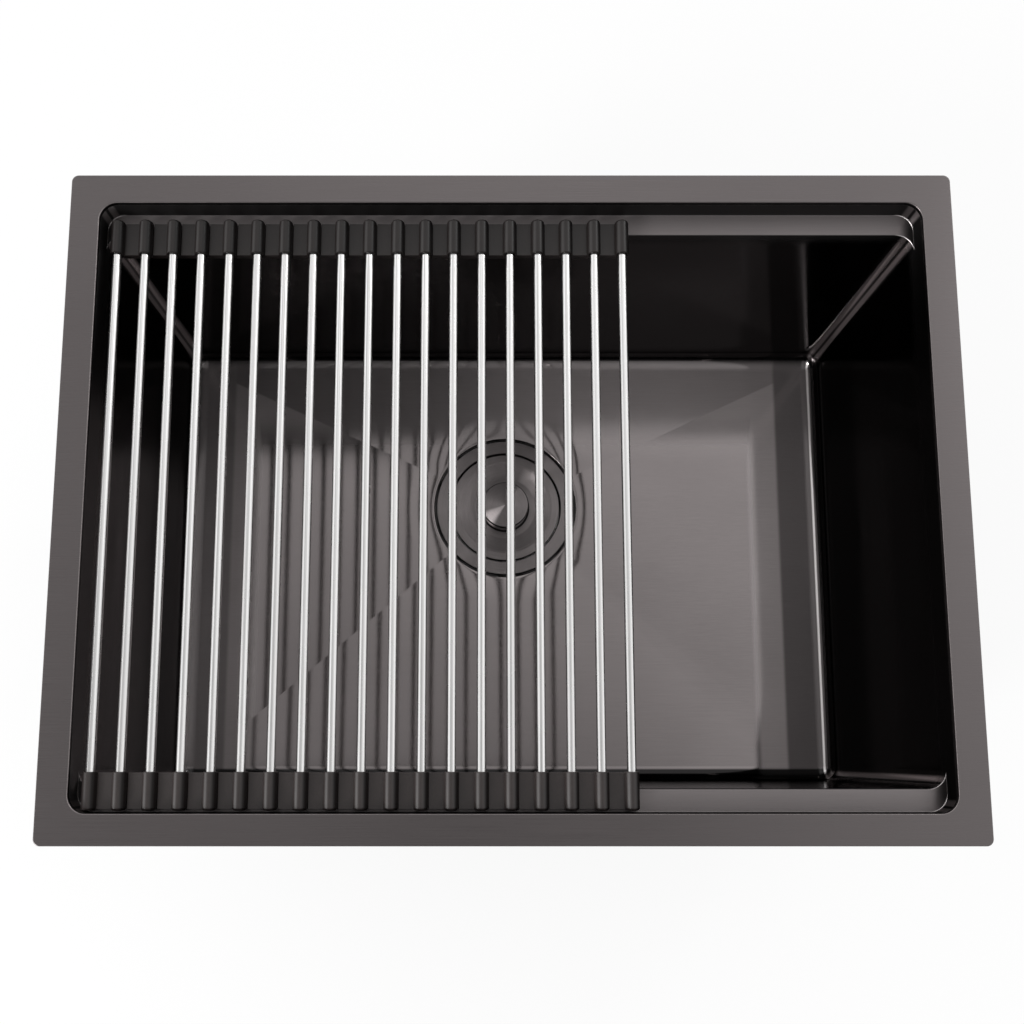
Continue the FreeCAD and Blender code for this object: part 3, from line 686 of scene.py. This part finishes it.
def moulded(name, colour, pale, roughness, speck=1100.0, depth=0.00003, rub=0.5, sheen=False):
    """Moulded or pressed matte stuff: a fine grain, slow patches and paler rubbed edges."""
    finish, tree, shader, place = new_finish(name)
    shader.inputs["Specular IOR Level"].default_value = 0.12 if sheen else 0.4
    cloud = use(tree, MOTTLE, Vector=place, Cloud_Scale=25.0, Speck_Scale=speck)
    mix = plus(tree, times(tree, cloud["Cloud"], 0.5), times(tree, cloud["Speck"], 0.5))
    body = tint(tree, between(tree, mix, 0.35, 0.65), colour, pale)
    if sheen:
        # painted light: a painted sheen on the left flanks, painted shade on the right flanks, and the
        # back strip painted darker and duller
        across = parts_of(tree, facing_way(tree))["X"]
        back_shade_factor = zone(tree, parts_of(tree, place)["Y"], (0.0, 150.0), 1.0, 0.50)
        left_sheen = plus(tree, between(tree, across, -0.05, -0.45, 0.50, 1.0),
                     between(tree, across, 0.25, 0.7, 0.0, -0.50))
        shader.inputs["Coat Roughness"].default_value = roughness
        shader.inputs["Coat IOR"].default_value = 1.68
        shader.inputs["Coat Tint"].default_value = (1.0, 0.95, 0.94, 1)
        feed(tree, shader.inputs["Coat Weight"], times(tree, left_sheen, back_shade_factor))
        right_shade = between(tree, across, 0.1, 0.7, 1.05, 0.3)
        body = scaled(tree, body, times(tree, back_shade_factor, right_shade))
    mask = use(tree, EDGE_RUB, Vector=place, Reach=0.6 * MM, Patches=300.0)["Mask"]
    edge = tuple(min(1.0, 1.5 * value + 0.01) for value in pale)
    feed(tree, shader.inputs["Base Color"], tint(tree, times(tree, mask, rub), body, edge))
    feed(tree, shader.inputs["Roughness"],
         between(tree, cloud["Speck"], 0.3, 0.7, roughness - 0.06, roughness + 0.06))
    bump(tree, shader, cloud["Speck"], depth)
    return finish


def bright_steel(name):
    """Stamped stainless of the basket and its fittings."""
    finish, tree, shader, place = new_finish(name)
    shader.inputs["Metallic"].default_value = 1.0
    lines = use(tree, BRUSH_LINES, Vector=place, Stretch=(600, 600, 60), Finer=3.0)
    streak = between(tree, lines["Lines"], 0.3, 0.7)
    colour = tint(tree, streak, (0.46, 0.455, 0.45), (0.62, 0.615, 0.61))
    mask = use(tree, EDGE_RUB, Vector=place, Reach=0.4 * MM, Patches=300.0)["Mask"]
    rubbed = tint(tree, times(tree, mask, 0.6), colour, (0.78, 0.775, 0.77))
    feed(tree, shader.inputs["Base Color"], rubbed)
    feed(tree, shader.inputs["Roughness"], between(tree, lines["Broad"], 0.3, 0.7, 0.24, 0.34))
    bump(tree, shader, lines["Lines"], 0.00001)
    return finish


BOWL_FINISH = brushed_sheet("gunmetal_bowl", "bowl", 0.092, 1.0, (20, 2200, 2200), 0.000005)
RIM_FINISH = brushed_sheet("gunmetal_rim", "rim", 0.30, 0.8, (14, 2200, 2200), 0.000004, 0.03)
SKIN_FINISH = brushed_sheet("gunmetal_underside", ((0.11, 0.1, 0.1), (0.13, 0.118, 0.118)),
                            0.42, 0.3, (60, 700, 700), 0.00001)
WASTE_FINISH = turned_metal("gunmetal_turned", (0.265, 0.240, 0.240), 0.36)
ROD_FINISH = rod_metal("satin_rod")
SILICONE_FINISH = moulded("silicone_strip", (0.0185, 0.0145, 0.0138), (0.0285, 0.0225, 0.0215),
                          0.37, rub=0.25, sheen=True)
PAD_FINISH = moulded("damping_mat", (0.012, 0.012, 0.0125), (0.026, 0.026, 0.027),
                     0.85, speck=420.0, depth=0.0004)
RUBBER_FINISH = moulded("seal_rubber", (0.012, 0.012, 0.012), (0.02, 0.02, 0.02), 0.6)
FIBRE_FINISH = moulded("pressed_fibre", (0.22, 0.13, 0.075), (0.33, 0.21, 0.13),
                       0.85, speck=700.0, depth=0.00008)
NUT_FINISH = moulded("nut_plastic", (0.02, 0.02, 0.021), (0.03, 0.03, 0.031), 0.45)
BASKET_FINISH = bright_steel("basket_steel")


# ----------------------------------------------------------------- sink shell
def rounded_ring(name, half_x, half_y, corner, z):
    """A flat rectangle with rounded corners, kept as an edge ring."""
    piece = begin(name, bpy.ops.mesh.primitive_plane_add, (0, 0, z), size=2 * MM)
    bpy.ops.transform.resize(value=(half_x, half_y, 1), center_override=(0, 0, z * MM))
    bpy.ops.mesh.bevel(affect="VERTICES", offset_type="OFFSET", offset=corner * MM,
                       segments=CORNER_STEPS, profile=0.5)
    bpy.ops.mesh.delete(type="ONLY_FACE")
    select_mesh()
    return piece


def make_rim():
    """The flat flange, with rolled edges round its opening."""
    rim = done(rounded_ring("sink_rim", RIM_X, RIM_Y, RIM_CORNER, 0))
    opening = done(rounded_ring("rim_opening", OPEN_X, OPEN_Y, CORNER, 0))
    only(rim)
    opening.select_set(True)
    bpy.ops.object.join()
    bpy.ops.object.mode_set(mode="EDIT")
    select_mesh()
    bpy.ops.mesh.bridge_edge_loops()
    face_out()
    done(rim)
    face_up(rim, rim.data.polygons[0])
    apply_modifier(rim, "SOLIDIFY", thickness=RIM_THICK * MM, offset=-1)
    reopen(rim)

    def rolled(at, along):
        """All level edges but the lower one of the opening, which stays square on the bowl."""
        outer = abs(at.x) > RIM_X - RIM_CORNER or abs(at.y) > RIM_Y - RIM_CORNER
        inner = abs(at.x) < OPEN_X + 1 and abs(at.y) < OPEN_Y + 1
        return abs(along.z) < 0.1 and (outer or (inner and at.z > -0.5 * RIM_THICK))

    pick(rim, "EDGE", rolled)
    bpy.ops.mesh.bevel(offset=RIM_ROLL * MM, segments=4, profile=0.5, affect="EDGES")
    done(rim)
    smooth(rim, 50)
    dress(rim, [RIM_FINISH], ["rim_flange"])


def fold_steps(count):
    return [math.pi / 2 * step / count for step in range(count + 1)]


def spoke_points():
    """Where the spokes from the drain meet the floor's edge: the creases run to its corners."""
    half_x, half_y = OPEN_X - CORNER, BOWL_Y - CORNER
    corners = [(half_x, -half_y), (half_x, half_y), (-half_x, half_y), (-half_x, -half_y)]
    shares = [18, 34, 18, 26]
    points = []
    for number, share in enumerate(shares):
        start, end = corners[number], corners[(number + 1) % 4]
        first = math.atan2(start[1] - DRAIN_Y, start[0])
        last = math.atan2(end[1] - DRAIN_Y, end[0])
        if last < first:
            last += 2 * math.pi
        for step in range(share):
            angle = first + (last - first) * step / share
            dx, dy = math.cos(angle), math.sin(angle)
            to_end = half_x / max(abs(dx), 1e-9)
            to_side = (half_y - math.copysign(DRAIN_Y, dy)) / max(abs(dy), 1e-9)
            reach = min(to_end, to_side)
            points.append((dx * reach, DRAIN_Y + dy * reach, reach, dx, dy))
    return points


def fall_height(at, reach):
    """Height of a fall at a distance from the drain's axis, on a spoke that reaches so far."""
    return FLOOR_Z - FALL * (1 - at / reach)


def lay_floor(piece):
    """Fills the bend's lower edge with four falls that dish towards the waste."""
    spokes = spoke_points()
    shape = bmesh.from_edit_mesh(piece.data)
    corners = [vert for vert in shape.verts if vert.select]

    edge_ring = []
    for x, y, _, _, _ in spokes:
        def off(vert):
            return math.hypot(vert.co.x / MM - x, vert.co.y / MM - y)

        near = min(corners, key=off)
        edge_ring.append(near if off(near) < 0.1 else None)
    # splits the four long edges where the spokes meet them
    count = len(spokes)
    for index in range(count):
        if edge_ring[index] is None:
            before = edge_ring[index - 1]
            later = edge_ring[index + 1:] + edge_ring[:index]
            ahead = next(vert for vert in later if vert)
            edge = next(e for e in before.link_edges if e.other_vert(before) is ahead)
            edge, vert = bmesh.utils.edge_split(edge, before, 0.5)
            vert.co = Vector((spokes[index][0] * MM, spokes[index][1] * MM, FLOOR_Z * MM))
            edge_ring[index] = vert
    mouth = DISH_RINGS[-1]
    last = edge_ring
    for radius in DISH_RINGS:
        ring = []
        share = 1 - (radius - mouth) / (DISH_R - mouth)
        for _, _, reach, dx, dy in spokes:
            dip = (DRAIN_Z - fall_height(mouth, reach)) * share ** 2
            height = fall_height(radius, reach) + dip
            ring.append(shape.verts.new((dx * radius * MM, (DRAIN_Y + dy * radius) * MM, height * MM)))
        for index in range(count):
            after = (index + 1) % count
            shape.faces.new((last[index], last[after], ring[after], ring[index]))
        last = ring
    for vert in shape.verts:
        vert.select_set(False)
    for index in range(count):
        last[index].select_set(True)
        edge = shape.edges.get((last[index], last[(index + 1) % count]))
        edge.select_set(True)
    bmesh.update_edit_mesh(piece.data)


def make_bowl():
    """The bowl in one drawn skin: opening, ledges, walls, bends, falls and waste recess."""
    bowl = rounded_ring("sink_bowl", OPEN_X, OPEN_Y, CORNER, -RIM_THICK)
    bpy.ops.mesh.select_mode(type="EDGE")
    select_mesh()
    # down the opening and round the fold into the ledge
    draw_ring(LEDGE_Z + LEDGE_FOLD + RIM_THICK)
    turns = fold_steps(4)
    for before, after in zip(turns, turns[1:]):
        draw_ring(-LEDGE_FOLD * (math.sin(after) - math.sin(before)))
        spread_sides(bowl, -LEDGE_FOLD * (math.cos(before) - math.cos(after)))
    # across the ledge and over its lip
    draw_ring(0)
    spread_sides(bowl, -(OPEN_Y - BOWL_Y - LEDGE_FOLD - LEDGE_LIP))
    turns = fold_steps(5)
    for before, after in zip(turns, turns[1:]):
        draw_ring(-LEDGE_LIP * (math.cos(before) - math.cos(after)))
        spread_sides(bowl, -LEDGE_LIP * (math.sin(after) - math.sin(before)))
    # down the walls and round the bottom bend
    draw_ring(FLOOR_Z + CORNER - (LEDGE_Z - LEDGE_LIP))
    turns = fold_steps(10)
    for before, after in zip(turns, turns[1:]):
        draw_ring(-CORNER * (math.sin(after) - math.sin(before)))
        tighten_corners(bowl, OPEN_X - CORNER, BOWL_Y - CORNER,
                        max(math.cos(after), NEARLY_ZERO) / math.cos(before))
    bpy.ops.mesh.remove_doubles(threshold=0.05 * MM)
    lay_floor(bowl)
    edge = RECESS_EDGE
    turn_on([(RECESS_R + edge, DRAIN_Z), (RECESS_R + 0.3 * edge, DRAIN_Z - 0.3 * edge),
             (RECESS_R, DRAIN_Z - edge), (RECESS_R, RECESS_Z + 0.3), (RECESS_R - 0.3, RECESS_Z),
             (HOLE_R, RECESS_Z)])
    select_mesh()
    bpy.ops.mesh.normals_make_consistent(inside=True)
    done(bowl)
    low = [face for face in bowl.data.polygons if face.center.z < FLOOR_Z * MM * 0.99]
    face_up(bowl, max(low, key=lambda face: face.area))
    apply_modifier(bowl, "SOLIDIFY", thickness=SHEET * MM, offset=-1, use_even_offset=True,
                   use_quality_normals=True, material_offset=1, material_offset_rim=1)
    reopen(bowl)
    half_x, half_y = OPEN_X - CORNER, BOWL_Y - CORNER

    def crease(at, along):
        """The floor's edge, and the folds to its corners, but the front right one is too faint."""
        if not FLOOR_Z - 4.6 < at.z < FLOOR_Z + 0.3:
            return False
        if at.z > FLOOR_Z - 0.05 and (abs(abs(at.x) - half_x) < 0.1 or abs(abs(at.y) - half_y) < 0.1):
            return True
        for corner_x in (half_x, -half_x):
            for corner_y in (half_y, -half_y):
                if corner_x > 0 > corner_y:
                    continue
                ray = Vector((corner_x, corner_y - DRAIN_Y, 0)).normalized()
                from_drain = Vector((at.x, at.y - DRAIN_Y, 0))
                if from_drain.length > 66 and from_drain.normalized().dot(ray) > 0.99999:
                    if abs(Vector((along.x, along.y, 0)).normalized().dot(ray)) > 0.999:
                        return True
        return False

    pick(bowl, "EDGE", crease)
    bpy.ops.mesh.mark_sharp()
    done(bowl)
    smooth(bowl, 50)
    dress(bowl, [BOWL_FINISH, SKIN_FINISH],
          ["bottom_pan", "wall_front", "wall_back", "wall_left", "wall_right"])
    return bowl


# -------------------------------------------------------------------- the waste
def make_waste():
    """Strainer body with its flange and threaded outlet, cover plate and knob."""
    thread = []
    height = THREAD_FOOT
    while height < THREAD_TOP:
        thread += [(OUTLET_R, height), (OUTLET_R - THREAD_DEPTH, height + THREAD_PITCH / 2)]
        height += THREAD_PITCH
    strainer = turned("waste_strainer", [
        (STRAINER_BORE, -0.6), (49.75, -0.15), (50.2, 0.0), (60.2, 0.0), (60.8, -0.2),
        (FLANGE_R, -0.7), (FLANGE_R, FLANGE_FOOT), (STRAINER_R, FLANGE_FOOT),
        (STRAINER_R, CONE_TOP), (OUTLET_R, CONE_FOOT)] + thread[::-1] + [
        (23.2, OUTLET_FOOT), (OUTLET_BORE, OUTLET_FOOT), (OUTLET_BORE, -46.0),
        (STRAINER_BORE, -40.0)])
    smooth(strainer, 28)
    dress(strainer, [WASTE_FINISH], ["strainer_body"])
    cover = turned("waste_cover", [
        (SCREW_R, DISH_FLOOR), (26.6, DISH_FLOOR), (27.6, -3.45), (40.2, -0.75), (40.8, -0.35),
        (41.6, -0.1), (42.3, 0.0), (47.6, 0.0), (48.3, -0.2), (COVER_R, -0.7), (COVER_R, COVER_FOOT),
        (47.4, COVER_FOOT), (47.4, -1.8), (40.8, -1.8), (27.0, -4.8), (SCREW_R, -4.8)])
    smooth(cover, 32)
    dress(cover, [WASTE_FINISH], ["cover_plate"])
    knob = turned("waste_knob", [
        (KNOB_NECK_R, DISH_FLOOR), (KNOB_NECK_R, 4.1), (19.6, 5.15), (20.35, 5.5), (KNOB_R, 5.9),
        (KNOB_R, 8.3), (20.45, 8.75), (19.9, 9.0), (18.9, 8.95), (0, 8.65)], closed=False)
    reopen(knob)
    pick(knob, "EDGE", lambda at, along: at.z < DRAIN_Z + DISH_FLOOR + 0.1)
    bpy.ops.mesh.edge_face_add()
    face_out()
    done(knob)
    smooth(knob, 32)
    dress(knob, [WASTE_FINISH], ["cover_knob"])


# --------------------------------------------------------------------- the rack
def strip_bulge(name, x):
    """The socket that holds a rod's end: its outer end is rounded, its inner end hollow."""
    outline = [(0.9, STRIP_OUT), (2.75, STRIP_OUT), (3.5, STRIP_OUT - 0.15), (4.15, STRIP_OUT - 0.6),
               (4.58, STRIP_OUT - 1.25), (BULGE_R, STRIP_OUT - 2.0), (BULGE_R, STRIP_IN + 0.8),
               (4.6, STRIP_IN + 0.3), (4.25, STRIP_IN + 0.05), (3.95, STRIP_IN), (3.6, STRIP_IN + 0.12),
               (3.35, STRIP_IN + 1.0)]
    radius, place = outline[0]
    bulge = begin(name, bpy.ops.mesh.primitive_circle_add, (x, -place, 0), vertices=40,
                  radius=radius * MM, fill_type="NGON", rotation=(math.pi / 2, 0, 0))
    bpy.ops.mesh.select_mode(type="EDGE")
    select_mesh()
    for (last_radius, last_place), (radius, place) in zip(outline, outline[1:]):
        bpy.ops.mesh.extrude_edges_move(
            TRANSFORM_OT_translate={"value": (0, (last_place - place) * MM, 0)})
        factor = radius / last_radius
        bpy.ops.transform.resize(value=(factor, 1, factor), center_override=(x * MM, 0, 0))
    bpy.ops.mesh.edge_face_add()
    face_out()
    return done(bulge)


def strip_web(name, low_x, high_x):
    """The thin flexible web between two sockets, with two shallow lines and a raised inner lip."""
    inner, outer = STRIP_IN + 0.5, STRIP_OUT - 1.0
    middle = Vector(((low_x + high_x) / 2, -(inner + outer) / 2, (WEB_TOP - BULGE_R) / 2))
    web = begin(name, bpy.ops.mesh.primitive_cube_add, middle, size=2 * MM)
    bpy.ops.transform.resize(
        value=((high_x - low_x) / 2, (outer - inner) / 2, (WEB_TOP + BULGE_R) / 2),
        center_override=middle * MM)
    grooves = [inner + (outer - inner) / 3, inner + (outer - inner) / 3 * 2]
    cuts = [groove + side for groove in grooves for side in (-GROOVE_HALF, GROOVE_HALF)]
    for cut in cuts + [inner + LIP_WIDTH]:
        select_mesh()
        bpy.ops.mesh.bisect(plane_co=(0, -cut * MM, 0), plane_no=(0, 1, 0))
    pick(web, "FACE", lambda at, normal: normal.z > 0.9
         and any(abs(at.y + groove) < GROOVE_HALF for groove in grooves))
    bpy.ops.transform.translate(value=(0, 0, -GROOVE_DEPTH * MM))
    pick(web, "FACE", lambda at, normal: normal.z > 0.9 and at.y > -(inner + LIP_WIDTH))
    bpy.ops.mesh.extrude_region_move(TRANSFORM_OT_translate={"value": (0, 0, LIP_RISE * MM)})
    return done(web)


def combine(piece, tool, operation):
    apply_modifier(piece, "BOOLEAN", operation=operation, solver="MANIFOLD", object=tool)
    bpy.data.objects.remove(tool)


def strip_unit(name, bulges, open_end):
    """One link of the front strip about its first rod, running to the left."""
    unit = strip_bulge(name, 0)
    for number in range(1, bulges):
        combine(unit, strip_bulge("next_bulge", -PITCH * number), "UNION")
    for number in range(bulges if open_end else bulges - 1):
        left, right = -PITCH * (number + 1) + WEB_REACH, -PITCH * number - WEB_REACH
        combine(unit, strip_web("web", left, right), "UNION")
    if open_end:
        room = begin("hinge_room", bpy.ops.mesh.primitive_cylinder_add,
                     (-PITCH * bulges, -(STRIP_OUT + STRIP_IN) / 2, 0), vertices=40,
                     radius=(BULGE_R + HINGE_GAP) * MM, depth=40 * MM, rotation=(math.pi / 2, 0, 0))
        combine(unit, done(room), "DIFFERENCE")
    reopen(unit)
    select_mesh()
    bpy.ops.mesh.remove_doubles(threshold=0.01 * MM)
    bpy.ops.mesh.dissolve_limited(angle_limit=math.radians(0.5))
    return done(unit)


def lay_strips(unit, node, rod_index):
    """Copies a link's front length to its rod, with its mirror at the back."""
    front, back = twin(unit), twin(unit)
    only(back)
    bpy.ops.transform.resize(value=(1, -1, 1), center_override=(0, 0, 0))
    bpy.ops.object.transform_apply(location=True, rotation=True, scale=True)
    bpy.ops.object.mode_set(mode="EDIT")
    face_out()
    done(back)
    only(front)
    back.select_set(True)
    bpy.ops.object.join()
    strips = bpy.context.object
    x = FIRST_ROD_X + PITCH * rod_index
    bpy.ops.transform.translate(value=(x * MM, RACK_Y * MM, ROD_Z * MM))
    bpy.ops.object.transform_apply(location=True, rotation=True, scale=True)
    strips.name = strips.data.name = node.replace("rack_strips", "strips")
    smooth(strips, 32)
    dress(strips, [SILICONE_FINISH], [node])


def make_rack():
    """Strip lengths on their rods, numbered from the left, and the rods."""
    base = strip_unit("strip_base", 3, True)
    single = strip_unit("strip_link", 1, True)
    last = strip_unit("strip_last", 2, False)
    for node in sorted(NODES):
        if not node.startswith("rack_strips"):
            continue
        tail = node.split("_")[-1]
        if tail == "base":
            lay_strips(base, node, ROD_COUNT - 1)
        elif tail == "end":
            lay_strips(last, node, 1)
        else:
            lay_strips(single, node, int(tail) - 1)
    for unit in (base, single, last):
        bpy.data.objects.remove(unit)
    rod = begin("rod", bpy.ops.mesh.primitive_cylinder_add, (FIRST_ROD_X, RACK_Y, ROD_Z), vertices=32,
                radius=ROD_R * MM, depth=2 * ROD_HALF * MM, rotation=(math.pi / 2, 0, 0))
    pick(rod, "FACE", lambda at, normal: abs(normal.y) > 0.9)
    bpy.ops.mesh.bevel(offset=0.5 * MM, segments=2, affect="EDGES")
    done(rod)
    smooth(rod, 40)
    for index in range(ROD_COUNT):
        bar = twin(rod)
        only(bar)
        bpy.ops.transform.translate(value=(PITCH * index * MM, 0, 0))
        bpy.ops.object.transform_apply(location=True, rotation=True, scale=True)
        bar.name = bar.data.name = "rod_%02d" % (index + 1)
        dress(bar, [ROD_FINISH], ["rack_rod_%02d" % (index + 1)])
    bpy.data.objects.remove(rod)


def finish_nodes():
    """The CAD pieces whose shape is already right get their finish."""
    for finish, names in (
            (PAD_FINISH, ("sound_pads_floor", "sound_pads_ends", "sound_pads_sides")),
            (RUBBER_FINISH, ("flange_gasket", "sealing_washer", "stopper_seal")),
            (FIBRE_FINISH, ("slip_ring",)),
            (NUT_FINISH, ("locknut",)),
            (BASKET_FINISH, ("basket_cup", "basket_post", "stopper_spacer", "cover_screw"))):
        for name in names:
            NODES[name].data.materials.clear()
            NODES[name].data.materials.append(finish)


# -------------------------------------------------------------- floor and light
STAGE_Z = -294.0
STAGE_SIZE = 40
# name, width and length in metres, watts, place in metres
LAMPS = (("left_lamp", 0.6, 0.8, 34.0, (-2.0, -1.25, 1.15)),
         ("back_lamp", 0.5, 0.5, 8.0, (1.7, 1.7, 1.3)))
LAMP_AIM = Vector((0, 0, -0.05))
CAMERA_PLACE = (-0.0167, -0.1682, 0.5836)
CAMERA_TILT = 7.082
LENS, SENSOR = 32.28, 36.0
LENS_SHIFT = (0.0249, 0.1256)


def make_stage():
    """A plain pale floor that shows white and keeps the sink's shadow."""
    floor = done(begin("studio_floor", bpy.ops.mesh.primitive_plane_add, (0, 0, STAGE_Z),
                       size=STAGE_SIZE))
    finish = bpy.data.materials.new("studio_white")
    finish.use_nodes = True
    tree = finish.node_tree
    tree.nodes.clear()
    paper = put(tree, "ShaderNodeBsdfDiffuse", Color=(0.9, 0.9, 0.9, 1))
    white = put(tree, "ShaderNodeEmission", Color=(1, 1, 1, 1), Strength=1.0)
    path = tree.nodes.new("ShaderNodeLightPath").outputs
    seen = maths(tree, "ADD", plus(tree, path["Is Camera Ray"], path["Is Glossy Ray"]),
                 path["Is Transmission Ray"], clamp=True)
    shown = put(tree, "ShaderNodeMixShader", i0=times(tree, seen, 0.85),
                i1=paper.outputs[0], i2=white.outputs[0])
    under = tree.nodes.new("ShaderNodeNewGeometry").outputs["Backfacing"]
    clear = tree.nodes.new("ShaderNodeBsdfTransparent")
    sides = put(tree, "ShaderNodeMixShader", i0=under, i1=shown.outputs[0], i2=clear.outputs[0])
    output = tree.nodes.new("ShaderNodeOutputMaterial")
    tree.links.new(sides.outputs[0], output.inputs["Surface"])
    floor.data.materials.append(finish)


def make_light():
    """A pale room, brighter to the right, the back and the far left, with two soft lamps."""
    world = bpy.data.worlds.new("studio")
    bpy.context.scene.world = world
    world.use_nodes = True
    tree = world.node_tree
    tree.nodes.clear()
    way = tree.nodes.new("ShaderNodeTexCoord").outputs["Generated"]
    parts = parts_of(tree, way)
    up = maths(tree, "MAXIMUM", parts["Z"], 0.35)
    across = maths(tree, "DIVIDE", parts["X"], up)
    back = maths(tree, "DIVIDE", parts["Y"], up)
    slope = plus(tree, times(tree, across, 0.33), times(tree, back, 0.37))
    level = put(tree, "ShaderNodeClamp", Value=plus(tree, slope, 0.71), Min=0.42, Max=1.2).outputs[0]
    far_left = between(tree, across, -0.62, -1.0, 0.0, 0.75)
    middle = times(tree, between(tree, back, 0.28, 0.62, 0.0, 0.26),
                   between(tree, maths(tree, "ABSOLUTE", across), 0.12, 0.5, 1.0, 0.0))
    level = plus(tree, plus(tree, level, far_left), middle)
    # the darker ceiling round the camera
    off_across = times(tree, less(tree, across, 0.05), 2.6)
    off_back = times(tree, plus(tree, back, 0.1), 2.0)
    away = maths(tree, "SQRT", plus(tree, times(tree, off_across, off_across),
                                    times(tree, off_back, off_back)))
    level = less(tree, level, between(tree, away, 0.2, 1.0, 0.27, 0.0))
    level = times(tree, level, between(tree, parts["Z"], 0.0, 0.3, 0.5, 1.0))
    path = tree.nodes.new("ShaderNodeLightPath").outputs["Is Camera Ray"]
    strength = plus(tree, times(tree, level, less(tree, 1.0, path)), path)
    room = put(tree, "ShaderNodeBackground", Color=(1, 1, 1, 1), Strength=strength)
    output = tree.nodes.new("ShaderNodeOutputWorld")
    tree.links.new(room.outputs[0], output.inputs["Surface"])
    for name, width, length, power, spot in LAMPS:
        lamp_data = bpy.data.lights.new(name, "AREA")
        lamp_data.shape = "RECTANGLE"
        lamp_data.size, lamp_data.size_y = width, length
        lamp_data.energy = power
        lamp = bpy.data.objects.new(name, lamp_data)
        bpy.context.scene.collection.objects.link(lamp)
        lamp.location = spot
        aim = LAMP_AIM - lamp.location
        lamp.rotation_euler = aim.to_track_quat("-Z", "Y").to_euler()


def make_camera():
    """The camera fitted to the rim, the ledges, the floor's bends and the drain."""
    lens = bpy.data.cameras.new("camera")
    lens.lens = LENS
    lens.sensor_width = SENSOR
    lens.shift_x, lens.shift_y = LENS_SHIFT
    lens.clip_start, lens.clip_end = 0.01, 100
    camera = bpy.data.objects.new("camera", lens)
    bpy.context.scene.collection.objects.link(camera)
    camera.location = CAMERA_PLACE
    camera.rotation_euler = (math.radians(CAMERA_TILT), 0, 0)
    bpy.context.scene.camera = camera


bpy.context.scene.view_settings.view_transform = "Standard"
make_camera()
make_rim()
make_bowl()
make_waste()
make_rack()
finish_nodes()
make_stage()
make_light()
